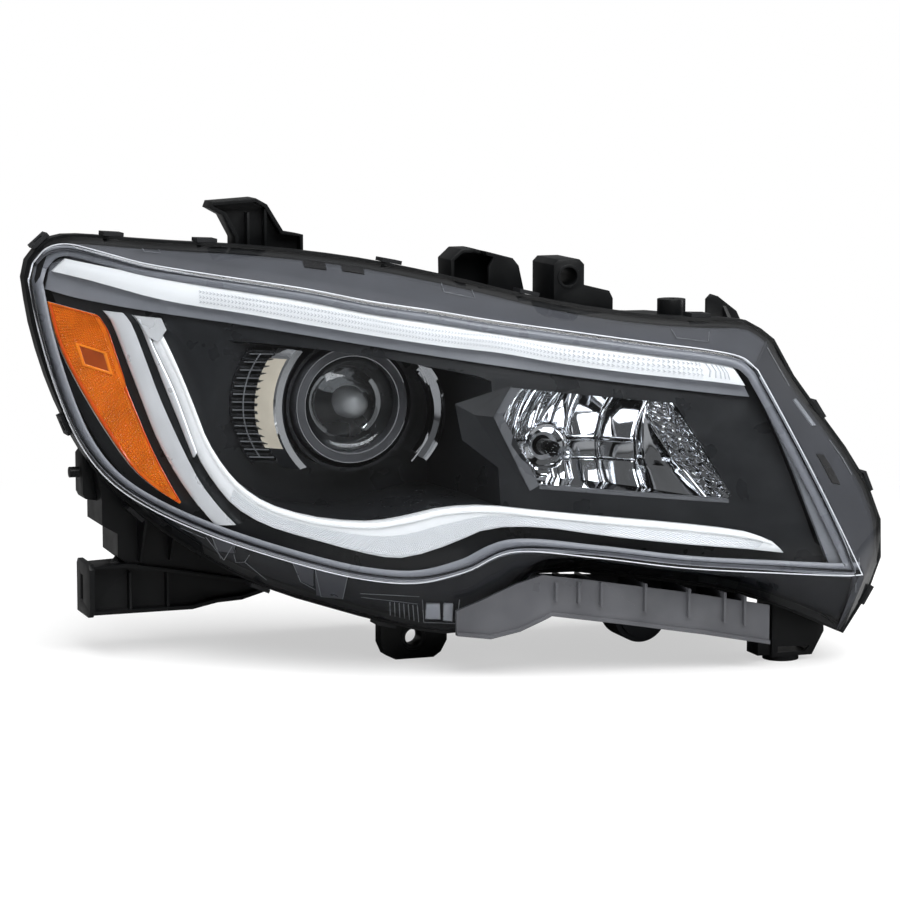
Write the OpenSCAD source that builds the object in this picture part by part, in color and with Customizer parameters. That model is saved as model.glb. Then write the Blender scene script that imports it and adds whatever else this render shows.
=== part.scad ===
// Car headlight assembly, passenger side.
// All pieces are drawn in lamp space: the origin is the front of the projector lens,
// X runs inboard (towards the grille), Y runs back into the wing, Z is up.
// in_lamp() then moves lamp space so that the part stands on Z = 0, centred over the origin.

/* [Outer lens] */
// Wall of the clear outer lens
lens_wall = 2.8; // [2.2:0.1:4]
// Backward lean of the lens per millimetre of height
lens_lean = 0.22; // [0.1:0.01:0.3]
// Crown of the lens over its height
lens_crown = 0.0008; // [0.0002:0.0001:0.0015]
// Depth of the lens skirt behind the face
skirt_depth = 75; // [66:1:90]
// Depth of the lens skirt at the outboard tip
skirt_tip = 8; // [6:1:16]

/* [Housing] */
// Wall of the moulded housing
housing_wall = 3; // [2.4:0.1:4]
// Back face of the deep bay behind the low beam
deep_back = 152; // [148:1:170]
// Depth of the outboard bay behind the tip of the lens
tip_bay = 55.3; // [50:0.1:66]
// Back face of the shallow bay behind the high beam
shallow_back = 90; // [88:1:104]
// Height of the housing rim that grips the lens, measured back from the lens skirt
rim_depth = 14; // [12:1:20]
// How far the rim stands outside the lens skirt
rim_out = 2; // [1.5:0.5:4]
// Inset of the housing walls behind the rim
body_inset = 6; // [5.5:0.5:9]
// Width of the sealant groove
groove_w = 5; // [4:0.5:6]
// Depth of the sealant groove
groove_depth = 7; // [5:0.5:9]
// How far the feet reach below the lowest point of the housing rim
foot_drop = 26; // [24:1:41]

/* [Bezel and light guides] */
// Depth of the bezel face behind the outer lens
bezel_depth = 17; // [16.8:0.1:20]
// Wall of the bezel
bezel_wall = 2.4; // [2:0.1:3]
// Depth of the projector recess behind the optical centre
recess_depth = 30; // [26:1:34]
// Depth of the upper light guide behind the outer lens
upper_guide_depth = 7; // [5:0.5:8]
// Thickness of the light guides
guide_thick = 6; // [4:0.5:6]
// Depth of the lower light guide behind the outer lens
lower_guide_depth = 9; // [8:0.5:10]
// Thickness of the satin trim strips
strip_thick = 4; // [3:0.5:5]
// Thickness of the amber reflector
amber_thick = 4; // [3:0.5:5]
// Thickness of the LED boards
board_thick = 1.6; // [1:0.2:2]

/* [Projector] */
// Diameter of the projector lens
projector_lens_d = 76; // [70:1:78]
// Outer diameter of the lens holder
holder_d = 90; // [84:1:92]
// Length of the lens holder
holder_len = 25; // [22:1:28]
// Depth of the dome of the projector lens
dome_depth = 18; // [14:1:20]
// Outer radius of the outboard bright arc beside the projector
outboard_arc_r = 66; // [64:1:68]
// Outer radius of the inboard bright arc
inboard_arc_r = 53; // [52:1:55]
// Turn of the outboard arc towards the outboard end
arc_turn = 8; // [6:0.5:10]

/* [High beam] */
// Place of the high beam bulb along X
high_x = 152; // [148:1:156]
// Place of the high beam bulb along Z
high_z = -37; // [-40:1:-34]
// Focal length of the high beam reflector
focal_length = 28; // [26:0.5:30]
// Wall of the high beam reflector
reflector_wall = 2.5; // [2:0.1:3]

/* [Bulbs] */
// Diameter of a bulb's glass
bulb_glass_d = 12; // [10:0.5:14]
// Length of a bulb's glass
bulb_glass_len = 34; // [30:1:36]
// Diameter of a bulb's base
bulb_base_d = 21; // [19:0.5:24]

/* [Aiming] */
// Height of the tilt axis above the optical centre
pivot_z = 28; // [24:1:30]
// Depth of the tilt axis behind the optical centre
pivot_y = 60; // [58:1:64]
// Distance from the tilt axis down to the aiming ball
aim_arm = 110; // [100:1:112]
// Diameter of the ball studs
ball_d = 11; // [9:0.5:12]
// Clearance between a ball and its socket, all round
ball_gap = 0.3; // [0.2:0.05:0.4]
// Diameter of the aiming screw
screw_d = 6; // [5:0.5:8]
// Running clearance of the aiming screw, all round
screw_gap = 0.08; // [0.05:0.01:0.1]

/* [Rear caps] */
// Opening behind the low beam bulb
low_cap_d = 80; // [74:1:84]
// Opening behind the high beam bulb
high_cap_d = 64; // [58:1:68]
// Clearance between a cap's spigot and its opening, all round
cap_gap = 0.3; // [0.2:0.05:0.5]
// Length of a cap behind the housing
cap_len = 16; // [12:1:22]

/* [Mounts] */
// Bore of the upper bolt bracket
bolt_bore_d = 14; // [10:0.5:15]
// Bore of the lower bolt tab
tab_bore_d = 13; // [9:0.5:14]
// Bore of the locating boss
boss_bore_d = 6; // [4:0.5:8]
// Diameter of the outboard locating peg
peg_d = 8.4; // [6:0.2:10]
// Wall of the moulded brackets
bracket_wall = 3; // [2.5:0.5:4]

/* [Hidden] */
$fn = 48;

// Colours of the real mouldings
black_plastic = "#1c1d1f";
bezel_black = "#222326";
satin_grey = "#8d8f92";
satin_silver = "#c4c6c8";
bright_chrome = "#dfe1e4";
clear_plastic = [0.75, 0.78, 0.82, 0.35];
frosted_white = "#eef0f2";
amber_plastic = "#d2691e";
rubber_black = "#141414";
board_green = "#1f5c3a";
zinc_steel = "#a9adb2";
grey_plastic = "#3a3c40";

// Small gap between pieces that are pressed together
seat_gap = 0.2;
// Gap between pieces that follow the curve of the lens
skin_gap = 0.6;
// Clearance of the moving optics behind the bezel
tilt_room = 9;

// Outline of the front edge of the lens, outboard to inboard, as [x, z]
crease_top = [
    [-210, 102], [-200, 114], [-186, 118], [-165, 113], [-140, 106], [-110, 101],
    [-75, 96], [-35, 90], [5, 82], [45, 76], [85, 69], [125, 63], [165, 57],
    [205, 51], [240, 46], [266, 40], [278, 30]
];
crease_bottom = [
    [-214, 88], [-210, 48], [-202, 6], [-190, -32], [-172, -60], [-145, -80],
    [-105, -98], [-55, -114], [-12, -124], [25, -126], [58, -117], [92, -102],
    [150, -107], [215, -116], [285, -122], [335, -126], [353, -126]
];
// Outline of the edge where the lens skirt meets the housing, as [x, z]
flange_top = [
    [-211, 103], [-201, 116], [-187, 122], [-165, 122], [-140, 120], [-107, 118],
    [-68, 116], [-24, 112], [20, 106], [60, 98], [98, 89], [136, 79], [180, 70],
    [223, 64], [262, 61], [295, 59], [315, 45]
];
flange_bottom = [
    [-214, 90], [-211, 56], [-203, 16], [-191, -20], [-175, -52], [-148, -84],
    [-110, -113], [-66, -137], [-20, -152], [20, -163], [58, -170], [90, -161],
    [122, -125], [190, -128], [262, -139], [315, -157], [351, -174]
];
flange_bulge = 50;
flange_bulge_drop = 1.4;

// Satin, lit and amber pieces behind the lens, as edges of [x, z]
bar_top = [
    [-188, 106], [-163, 101], [-136, 96], [-110, 91], [-75, 86], [-40, 81], [-6, 75],
    [25, 69], [60, 64], [93, 60], [130, 52], [185, 45], [237, 39], [258, 34]
];
bar_bottom = [
    [-197, 96], [-172, 90], [-137, 80], [-111, 75], [-76, 70], [-42, 64], [-7, 58],
    [24, 53], [58, 48], [92, 44], [129, 37], [182, 29], [240, 22], [268, 18]
];
trim_top = [
    [-197, 101], [-182, 107], [-140, 101], [-75, 91], [5, 77], [85, 64], [165, 52],
    [240, 40], [263, 34]
];
trim_bottom = [
    [-202, 82], [-180, 76], [-138, 69], [-76, 61], [-2, 49], [85, 35], [165, 23],
    [240, 13], [273, 9]
];
guide_inner = [
    [-132, 54], [-127, 40], [-121, 21], [-114, -3], [-108, -24], [-98, -44],
    [-86, -59], [-68, -71], [-39, -79], [-6, -81], [18, -77], [45, -70], [75, -68],
    [113, -72], [160, -77], [215, -83], [262, -90], [283, -98]
];
guide_outer = [
    [-138, 46], [-133, 32], [-126, 11], [-120, -12], [-114, -36], [-103, -58],
    [-90, -75], [-70, -87], [-40, -96], [-6, -105], [18, -107], [48, -97], [76, -85],
    [113, -84], [160, -91], [215, -98], [262, -103], [292, -107]
];
outboard_inner = [
    [-155, 67], [-150, 58], [-143, 31], [-136, 4], [-125, -29], [-114, -56],
    [-102, -75], [-92, -87]
];
outboard_outer = [
    [-167, 68], [-162, 59], [-155, 32], [-147, 2], [-139, -26], [-128, -52],
    [-116, -73], [-105, -88]
];
inboard_inner = [
    [-139.5, 57], [-138.5, 46], [-133.5, 31], [-126.5, 10], [-120.5, -13], [-115, -34]
];
inboard_outer = [
    [-149, 66], [-144, 57], [-138, 35], [-130.5, 8], [-124, -14], [-117, -38]
];
edge_inner = [[290, 8], [299, -12], [309, -35], [321, -66], [333, -96], [342, -117]];
edge_outer = [[281, 8], [289, -12], [298, -35], [309, -66], [320, -96], [328, -117]];
amber_inner = [
    [-172, 65], [-167, 54], [-163, 36], [-158, 15], [-151, -10], [-143, -35],
    [-134, -57], [-127, -72]
];
amber_outer = [
    [-202, 73], [-198, 45], [-190, 20], [-178, -8], [-167, -30], [-155, -50],
    [-141, -64], [-128, -73]
];
// Upper and lower edge of the bezel's recess
brow_line = [
    [-206, 62], [-175, 60], [-140, 56], [-92, 50], [-45, 46], [5, 40], [43, 33],
    [104, 21], [165, 13], [228, 6], [294, 0]
];
sill_line = [
    [-208, 50], [-190, 15], [-155, -26], [-108, -46], [-58, -74], [-4, -81],
    [45, -70], [105, -71], [172, -78], [254, -88], [332, -104]
];
// High beam window
window_outline = [
    [106, 17], [218, 5], [233, -21], [256, -63], [254, -67], [115, -54], [92, -3]
];

// ---- Curves ----
function curve_point(a, b, c, d, t) =
    0.5 * (2 * b + (c - a) * t + (2 * a - 5 * b + 4 * c - d) * t * t
    + (3 * b - a - 3 * c + d) * t * t * t);

// Point on a smooth line at t = 0 to 1
function along(line, t) =
    let(last = len(line) - 1, i = min(floor(t * last), last - 1), f = t * last - i)
    curve_point(
        i == 0 ? 2 * line[0] - line[1] : line[i - 1], line[i], line[i + 1],
        i + 2 > last ? 2 * line[last] - line[last - 1] : line[i + 2], f
    );

function mix(a, b, t) = a * (1 - t) + b * t;

function smooth_line(line, steps) = [for (i = [0:steps]) along(line, i / steps)];

// ---- Surfaces of the lamp ----
plan_front = 150;
plan_outer_x = -220;
plan_inner_x = 380;
plan_run = plan_inner_x - plan_outer_x;
plan_lead = 40;
plan_bow = 131;
plan_wrap = 109;
function plan_y(x) =
    let(t = (plan_inner_x - x) / plan_run)
    plan_lead * t + plan_bow * t * t + plan_wrap * pow(t, 4) - plan_front;
tip_back = plan_y(flange_bottom[0][0]) + tip_bay;

function lens_y(x, z) = plan_y(x) + lens_lean * z + lens_crown * z * z;

function skirt_gap(x) =
    skirt_tip + (skirt_depth - skirt_tip) * sin(90 * min(1, max(0, (x + 220) / 252)))
    - max(0, x - 60) * 0.06;

function flange_line_y(x) = plan_y(x) + skirt_gap(x);
function flange_y(x, z) = flange_line_y(x) + lens_lean * z;

// Height that the feet hold the optical centre above the ground
stand_height = foot_drop - min([for (p = flange_bottom) p[1]]);

// ---- Closed loop of the flange, as [x, z] ----
flange_steps = 32;
bulge_steps = 8;
function final(list) = list[len(list) - 1];
function bulge_point(f) =
    mix(final(flange_top), final(flange_bottom), f)
    + [flange_bulge * sin(180 * pow(f, flange_bulge_drop)), 0];
flange_loop = concat(
    smooth_line(flange_top, flange_steps),
    [for (i = [1:bulge_steps - 1]) bulge_point(i / bulge_steps)],
    [for (i = [flange_steps:-1:0]) along(flange_bottom, i / flange_steps)]
);

// Loop of points moved outwards by d
function loop_normal(p, i) =
    let(n = len(p), e = p[(i + 1) % n] - p[(i + n - 1) % n])
    [-e[1], e[0]] / norm(e);
function grow(p, d) = [for (i = [0:len(p) - 1]) p[i] + d * loop_normal(p, i)];

// ---- Overall extents, for placing the part on its stand ----
marker_flange = 3;
marker_plug = 12;
part_left = min([for (p = flange_loop) p[0]]) - rim_out;
part_right = max([for (p = flange_loop) p[0]]) + rim_out;
part_front = lens_y(final(crease_bottom)[0], final(crease_bottom)[1]);
part_back = tip_back + marker_flange + marker_plug;

module in_lamp()
    translate([-(part_left + part_right) / 2, -(part_front + part_back) / 2, stand_height])
        children();

// ---- Grids of points, columns outboard to inboard and rows top to bottom ----
function grid_normal(g, i, k) =
    let(
        du = g[min(i + 1, len(g) - 1)][k] - g[max(i - 1, 0)][k],
        dv = g[i][min(k + 1, len(g[0]) - 1)] - g[i][max(k - 1, 0)],
        n = cross(du, dv)
    )
    n / norm(n);
function thicken(g, d) =
    [for (i = [0:len(g) - 1]) [for (k = [0:len(g[0]) - 1]) g[i][k] + d * grid_normal(g, i, k)]];
function push_back(g, d) = [for (col = g) [for (p = col) p + [0, d, 0]]];

// Closed solid between a front grid and a back grid of the same size
module shell(front, back) {
    cols = len(front);
    rows = len(front[0]);
    size = cols * rows;
    flat = concat([for (col = front) for (p = col) p], [for (col = back) for (p = col) p]);
    faces = concat(
        [for (i = [0:cols - 2]) for (k = [0:rows - 2]) let(a = i * rows + k)
            each [[a, a + rows, a + rows + 1], [a, a + rows + 1, a + 1]]],
        [for (i = [0:cols - 2]) for (k = [0:rows - 2]) let(a = size + i * rows + k)
            each [[a, a + rows + 1, a + rows], [a, a + 1, a + rows + 1]]],
        [for (i = [0:cols - 2]) let(a = i * rows)
            each [[a, size + a + rows, a + rows], [a, size + a, size + a + rows]]],
        [for (i = [0:cols - 2]) let(a = i * rows + rows - 1)
            each [[a, a + rows, size + a + rows], [a, size + a + rows, size + a]]],
        [for (k = [0:rows - 2])
            each [[k, k + 1, size + k + 1], [k, size + k + 1, size + k]]],
        [for (k = [0:rows - 2]) let(a = (cols - 1) * rows + k)
            each [[a, size + a + 1, a + 1], [a, size + a, size + a + 1]]]
    );
    polyhedron(points = flat, faces = faces, convexity = 8);
}

// Strip between two edges, at a depth behind the lens, with a crowned front
module band(upper, lower, depth, thick, crown = 0, cols = 24, rows = 4) {
    front = [for (i = [0:cols]) [for (k = [0:rows])
        let(p = mix(along(upper, i / cols), along(lower, i / cols), k / rows))
        [p[0], lens_y(p[0], p[1]) + depth - crown * sin(180 * k / rows), p[1]]
    ]];
    base = [for (i = [0:cols]) [for (k = [0:rows])
        let(p = mix(along(upper, i / cols), along(lower, i / cols), k / rows))
        [p[0], lens_y(p[0], p[1]) + depth, p[1]]
    ]];
    shell(front, push_back(base, thick));
}

// ---- Solids made from an outline ----
// Outline in X and Z, pulled along Y from y0 to y1
module pull_y(outline, y0, y1)
    translate([0, y1, 0]) rotate([90, 0, 0]) linear_extrude(y1 - y0) polygon(outline);

// Outline in Y and Z, pulled along X from x0 to x1
module pull_x(outline, x0, x1)
    translate([x0, 0, 0]) rotate([90, 0, 90]) linear_extrude(x1 - x0) polygon(outline);

// Outline in X and Y, pulled along Z and leaned back as the lens is
lean_angle = atan(lens_lean);
lean_length = 900;
module leaned(outline)
    rotate([-lean_angle, 0, 0]) translate([0, 0, -lean_length / 2])
        linear_extrude(lean_length) polygon([for (p = outline) [p[0], p[1] * cos(lean_angle)]]);

// Everything behind the lens flange line, offset back by d
flange_cols = 28;
far_left = -260;
far_right = 440;
far_back = 420;
module behind_flange(d)
    leaned(concat(
        [for (i = [0:flange_cols])
            let(x = mix(far_left + 32, far_right - 32, i / flange_cols))
            [x, flange_line_y(x) + d]],
        [[far_right, far_back], [far_left, far_back]]
    ));

// Region in front of the back wall, moved forwards by d
deep_end_x = 70;
bay_slope_x = 24;
module before_back(d) {
    outline = [
        [far_left, -far_back], [far_left, tip_back - d], [-150, tip_back - d],
        [-112, deep_back - d], [deep_end_x - d, deep_back - d],
        [deep_end_x + bay_slope_x - d, shallow_back - d],
        [310 - d, shallow_back - d], [far_right - d, -40 - d], [far_right, -far_back]
    ];
    translate([0, 0, -lean_length / 2]) linear_extrude(lean_length) polygon(outline);
}

prism_front = -230;
prism_back = 230;
module housing_prism(d) pull_y(grow(flange_loop, d), prism_front, prism_back);

module groove_solid() difference() {
    housing_prism(0);
    housing_prism(-groove_w);
    behind_flange(groove_depth);
}

module rim_solid() difference() {
    intersection() {
        housing_prism(rim_out);
        behind_flange(0);
    }
    behind_flange(rim_depth);
}

module bucket_solid() intersection() {
    housing_prism(-body_inset);
    behind_flange(rim_depth / 2);
    before_back(0);
}

// Ledge of the housing below and behind the outboard end of the lens
ledge_outline = [
    [-160, -20], [-120, -60], [-60, -110], [20, -130], [20, -156], [-40, -152], [-90, -142],
    [-148, -132], [-158, -124], [-158, -106], [-170, -99], [-170, -80], [-176, -40]
];
ledge_front = 102;
module ledge_solid(d) pull_y(grow(ledge_outline, -d), ledge_front + d, deep_back - 2 + d);

module housing_outer() {
    rim_solid();
    bucket_solid();
    ledge_solid(0);
}

// A bracket shortened to end on the outside of the housing
module on_housing() difference() {
    children();
    housing_outer();
}

collar_wall = 4;
collar_len = 6;
marker_x = -168;
marker_z = 12;
marker_hole_d = 30;
connector_x = -72;
connector_z = -66;
aim_x = 215;
aim_z = pivot_z - aim_arm;
aim_hole_d = 20;
vent_places = [[48, deep_back, -84], [-62, deep_back, 70], [264, shallow_back, -98]];
vent_d = 14;

module y_cylinder(x, z, y0, y1, d)
    translate([x, y1, z]) rotate([90, 0, 0]) cylinder(h = y1 - y0, d = d);

module housing() color(black_plastic) in_lamp() difference() {
    union() {
        rim_solid();
        bucket_solid();
        difference() {
            ledge_solid(0);
            ledge_solid(housing_wall);
        }
        y_cylinder(0, 0, deep_back - housing_wall, deep_back + collar_len,
            low_cap_d + 2 * collar_wall);
        y_cylinder(high_x, high_z, shallow_back - housing_wall, shallow_back + collar_len,
            high_cap_d + 2 * collar_wall);
        for (x = [-142, -118, -92])
            pull_x([[78, -92], [ledge_front + 1, -92], [ledge_front + 1, -128], [96, -128]],
                x, x + 2);
    }
    intersection() {
        housing_prism(-body_inset - housing_wall);
        before_back(housing_wall);
        behind_flange(-60);
    }
    groove_solid();
    y_cylinder(0, 0, deep_back - 20, deep_back + 20, low_cap_d);
    y_cylinder(high_x, high_z, shallow_back - 20, shallow_back + 20, high_cap_d);
    y_cylinder(marker_x, marker_z, tip_back - 20, tip_back + 20, marker_hole_d);
    y_cylinder(aim_x, aim_z, shallow_back - 20, shallow_back + 20, aim_hole_d);
    for (v = vent_places)
        y_cylinder(v[0], v[2], v[1] - 20, v[1] + 20, vent_d - 6);
    translate([connector_x - 14, deep_back - 20, connector_z - 9]) cube([28, 40, 18]);
}

// ---- Outer lens ----
lens_steps = 40;
face_rows = 5;
edge_round = 3;
function toward(a, b, d) = a + (b - a) * d / norm(b - a);
function on_flange(p) = [p[0], flange_y(p[0], p[1]) - skin_gap, p[1]];
function on_lens(p, d = 0) = [p[0], lens_y(p[0], p[1]) + d, p[1]];
function lens_column(t) =
    let(
        a = along(crease_top, t), b = along(crease_bottom, t),
        fa = on_flange(along(flange_top, t)), fb = on_flange(along(flange_bottom, t)),
        ra = toward(a, b, edge_round), rb = toward(b, a, edge_round),
        ca = on_lens(a, edge_round / 2), cb = on_lens(b, edge_round / 2)
    )
    concat(
        [fa, mix(fa, ca, 0.5), toward(ca, fa, edge_round)],
        [for (k = [0:face_rows]) on_lens(mix(ra, rb, k / face_rows))],
        [toward(cb, fb, edge_round), mix(fb, cb, 0.5), fb]
    );
// Inboard end of the skirt, from the edge of the face back to the flange
function skirt_end(f) =
    let(
        face = lens_column(1), last = len(face) - 1,
        rim = [for (k = [0:last])
            k == 0 ? face[0] : k == last ? face[last] : on_flange(bulge_point((k - 0.5) / last))]
    )
    [for (k = [0:last]) k == 0 || k == last
        ? rim[k] + [f, 0, 0] : mix(face[k], rim[k], f)];
lens_grid = concat(
    [for (i = [0:lens_steps]) lens_column(pow(i / lens_steps, 1.35))],
    [skirt_end(0.5), skirt_end(1)]
);
module outer_lens() color(clear_plastic) in_lamp() difference() {
    shell(lens_grid, thicken(lens_grid, lens_wall));
    difference() {
        rim_solid();
        groove_solid();
    }
}

module lens_sealant() color(rubber_black) in_lamp() difference() {
    intersection() {
        housing_prism(-seat_gap);
        behind_flange(lens_wall + seat_gap);
    }
    housing_prism(seat_gap - groove_w);
    behind_flange(groove_depth - seat_gap / 2);
}

// ---- Bezel ----
bezel_steps = 72;
face_steps = 3;
bezel_margin = 7;
recess_rows = 4;
recess_wall = 2;
recess_end_x = 73;
recess_ramp = 9;
function recess_y(x) = recess_depth - max(0, x - recess_end_x) * recess_ramp;
function bezel_face(p) = on_lens(p, bezel_depth);
function bezel_floor(p) =
    [p[0], max(lens_y(p[0], p[1]) + bezel_depth, recess_y(p[0])), p[1]];
function bezel_column(t) =
    let(
        top = along(crease_top, t), low = along(crease_bottom, t),
        brow = along(brow_line, t), sill = along(sill_line, t),
        brow_in = toward(brow, sill, recess_wall), sill_in = toward(sill, brow, recess_wall)
    )
    concat(
        [for (k = [0:face_steps]) bezel_face(mix(toward(top, low, bezel_margin), brow,
            k / face_steps))],
        [for (k = [0:recess_rows]) bezel_floor(mix(brow_in, sill_in, k / recess_rows))],
        [for (k = [0:face_steps]) bezel_face(mix(sill, toward(low, top, bezel_margin),
            k / face_steps))]
    );
bezel_first = 0.045;
bezel_last = 0.985;
bezel_grid =
    [for (i = [0:bezel_steps]) bezel_column(mix(bezel_first, bezel_last, i / bezel_steps))];
shroud_r = holder_d / 2 + 3.5;
shroud_wall = 2.5;
module bezel() color(bezel_black) in_lamp() difference() {
    intersection() {
        shell(bezel_grid, thicken(bezel_grid, bezel_wall));
        housing_prism(-body_inset - housing_wall - skin_gap);
    }
    y_cylinder(0, 0, -6, recess_depth + 20, 2 * (shroud_r + shroud_wall + seat_gap));
    pull_y(window_outline, prism_front, 0);
}

// ---- Light guides and trims ----
module upper_light_guide() color(frosted_white) in_lamp()
    band(bar_top, bar_bottom, upper_guide_depth, guide_thick, crown = 1.5, cols = 28);

module upper_guide_trim() color(satin_grey) in_lamp()
    band(trim_top, trim_bottom, upper_guide_depth + guide_thick + seat_gap,
        bezel_depth - upper_guide_depth - guide_thick - seat_gap - skin_gap, cols = 28);

module lower_light_guide() color(frosted_white) in_lamp()
    band(guide_inner, guide_outer, lower_guide_depth, guide_thick, crown = 2, cols = 36);

module outboard_strip() color(satin_silver) in_lamp()
    band(outboard_inner, outboard_outer, lower_guide_depth, strip_thick, crown = 1, cols = 16);

module inboard_strip() color(satin_silver) in_lamp()
    band(inboard_inner, inboard_outer, lower_guide_depth, strip_thick, crown = 1, cols = 12);

module inner_edge_trim() color(satin_silver) in_lamp()
    band(edge_inner, edge_outer, lower_guide_depth, strip_thick, crown = 0.5, cols = 12);

module side_reflector() color(amber_plastic) in_lamp()
    band(amber_inner, amber_outer, upper_guide_depth, amber_thick, cols = 16, rows = 3);

module side_reflector_tray() color(satin_grey) in_lamp()
    band(amber_inner, amber_outer, upper_guide_depth + amber_thick + seat_gap,
        bezel_depth - upper_guide_depth - amber_thick - seat_gap - 2 * skin_gap,
        cols = 16, rows = 3);

// LED boards stand behind the bezel, clear of its wall where the lens wraps round
board_depth = bezel_depth + 2.2 * bezel_wall + seat_gap;
module upper_led_board() color(board_green) in_lamp()
    band(bar_top, bar_bottom, board_depth, board_thick, cols = 20, rows = 2);

module lower_led_board() color(board_green) in_lamp()
    band([for (i = [7:17]) guide_inner[i] - [0, 7]], [for (i = [7:17]) guide_outer[i] - [0, 1]],
        board_depth, board_thick, cols = 16, rows = 2);

// ---- Projector surround ----
arc_x = 10;
arc_front = -10;
arc_first = 139;
arc_last = 224;
arc_steps = 24;
arc_wall = 2;

// Point on the outboard arc at angle a, moved outboard by dx and back by dy
function arc_point(a, dx, dy) = [
    arc_x - dx + outboard_arc_r * cos(a),
    arc_front + dy - outboard_arc_r * cos(a) * tan(arc_turn),
    outboard_arc_r * sin(a)
];
function arc_at(i) = mix(arc_first, arc_last, i / arc_steps);

// What stands in front of the recess floor, clear of its upper and lower walls
module in_recess() intersection() {
    children();
    pull_y(concat(
        [for (p = brow_line) p - [0, recess_wall + 2 * seat_gap]],
        backwards([for (p = sill_line) p + [0, recess_wall + 2 * seat_gap]])
    ), prism_front, recess_depth - seat_gap);
}

// Bright lip and the band that runs back from it, as steps of [outboard, back]
band_steps = [[0, 2], [1, 0], [4, 0.5], [5, 3], [13, 16]];
band_grid = [for (i = [0:arc_steps]) [for (k = band_steps) arc_point(arc_at(i), k[0], k[1])]];
module projector_arc_outboard() color(bright_chrome) in_lamp() in_recess()
    shell(thicken(band_grid, -arc_wall), band_grid);

function tube_profile(r, wall, y0, y1) = [[r - wall, -y0], [r, -y0], [r, -y1], [r - wall, -y1]];
module inboard_sweep(profile)
    translate([arc_x + inboard_shift, 0, -inboard_shift]) rotate([90, 0, 0])
        rotate([0, 0, -45]) rotate_extrude(angle = 87) polygon(profile);

arc_gap = 7.5;
inboard_shift = 5;
inboard_front = arc_front - 10;
module projector_arc_inboard() color(bright_chrome) in_lamp() in_recess() {
    inboard_sweep(tube_profile(inboard_arc_r, arc_wall, inboard_front, recess_depth));
    inboard_sweep(tube_profile(inboard_arc_r - arc_gap, arc_wall,
        inboard_front + 4, inboard_front + 14));
    inboard_sweep(tube_profile(inboard_arc_r - 1, arc_gap,
        inboard_front + 12, inboard_front + 14));
}

fin_count = 15;
fin_margin = 2.6;
fin_top = outboard_arc_r * sin(arc_first) - fin_margin;
fin_pitch = (fin_top - fin_margin - outboard_arc_r * sin(arc_last)) / (fin_count - 1);
fin_wall = 1.6;
fin_reach = 18;
fin_start = 14;
fin_stop = recess_depth - 2;
floor_reach = outboard_arc_r - arc_x - shroud_r - shroud_wall / 2;
// A fin at height z, from the back of the band outboard to the recess floor
module fin(z) {
    start = arc_point(180 - asin(z / outboard_arc_r), fin_start, 16);
    translate([start[0], 0, z]) linear_extrude(fin_wall) polygon([
        [0, start[1]], [0, recess_depth], [-fin_reach, recess_depth], [-fin_reach, fin_stop - 3],
        [-5, start[1] - 1]
    ]);
}
module projector_fins() color(bezel_black) in_lamp() difference() {
    union() {
        y_cylinder(0, 0, 4, recess_depth + bezel_wall, 2 * (shroud_r + shroud_wall));
        in_recess() {
            for (i = [0:fin_count - 1])
                fin(fin_top - i * fin_pitch);
            pull_y(concat(
                [for (i = [0:arc_steps]) let(p = arc_point(arc_at(i), -floor_reach, 0)) [p[0], p[2]]],
                [for (i = [arc_steps:-1:0])
                    let(p = arc_point(arc_at(i), fin_start + fin_reach, 0)) [p[0], p[2]]]
            ), fin_stop, recess_depth);
        }
    }
    y_cylinder(0, 0, -20, recess_depth + bezel_wall + 1, 2 * shroud_r);
}

// ---- Moving optics ----
plate_y = pivot_y - 4;
plate_thick = 4;
ring_wall = 8;
bowl_r = 44;
pivot_places = [-96, 286];
socket_r = ball_d / 2 + 4;

module carrier_frame() color(grey_plastic) in_lamp() difference() {
    union() {
        pull_y([
            [-96, pivot_z - 10], [286, pivot_z - 10], [286, pivot_z + 10], [-96, pivot_z + 10]
        ], plate_y, plate_y + plate_thick);
        y_cylinder(0, 0, plate_y, plate_y + plate_thick, 2 * (bowl_r + ring_wall + 4));
        pull_y([
            [high_x - 34, -76], [high_x + 76, -76], [high_x + 76, pivot_z], [high_x - 34, pivot_z]
        ], plate_y, plate_y + plate_thick);
        pull_y([
            [aim_x - 11, aim_z - 6], [aim_x + 11, aim_z - 6], [aim_x + 11, -70], [aim_x - 11, -70]
        ], plate_y, plate_y + plate_thick);
    }
    y_cylinder(0, 0, plate_y - 1, plate_y + plate_thick + 1, 2 * (bowl_r + seat_gap));
    y_cylinder(high_x, high_z, plate_y - 1, plate_y + plate_thick + 1, bulb_base_d + 22);
    y_cylinder(aim_x, aim_z, plate_y - 1, plate_y + plate_thick + 1, 2 * (socket_r + seat_gap));
    for (x = pivot_places)
        y_cylinder(x, pivot_z, plate_y - 1, plate_y + plate_thick + 1,
            2 * (socket_r + seat_gap));
}

// Reflector bowl behind the projector lens, open to the front
bowl_back = 104;
bowl_wall = 2.5;
low_glass_y = 74;
module projector_body() color(satin_silver) in_lamp()
    rotate([-90, 0, 0]) rotate_extrude($fn = 96) polygon([
        [holder_d / 2 - 5, holder_len + seat_gap], [holder_d / 2 - 1, holder_len + seat_gap],
        [bowl_r, plate_y], [bowl_r, plate_y + plate_thick], [38, 84], [28, 98],
        [18, bowl_back], [bulb_base_d / 2 - 2, bowl_back],
        [bulb_base_d / 2 - 2, bowl_back - bowl_wall], [17, bowl_back - bowl_wall],
        [26, 96], [35, 82], [bowl_r - bowl_wall, plate_y + plate_thick],
        [bowl_r - bowl_wall, plate_y], [holder_d / 2 - 5, holder_len + 4]
    ]);

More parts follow.
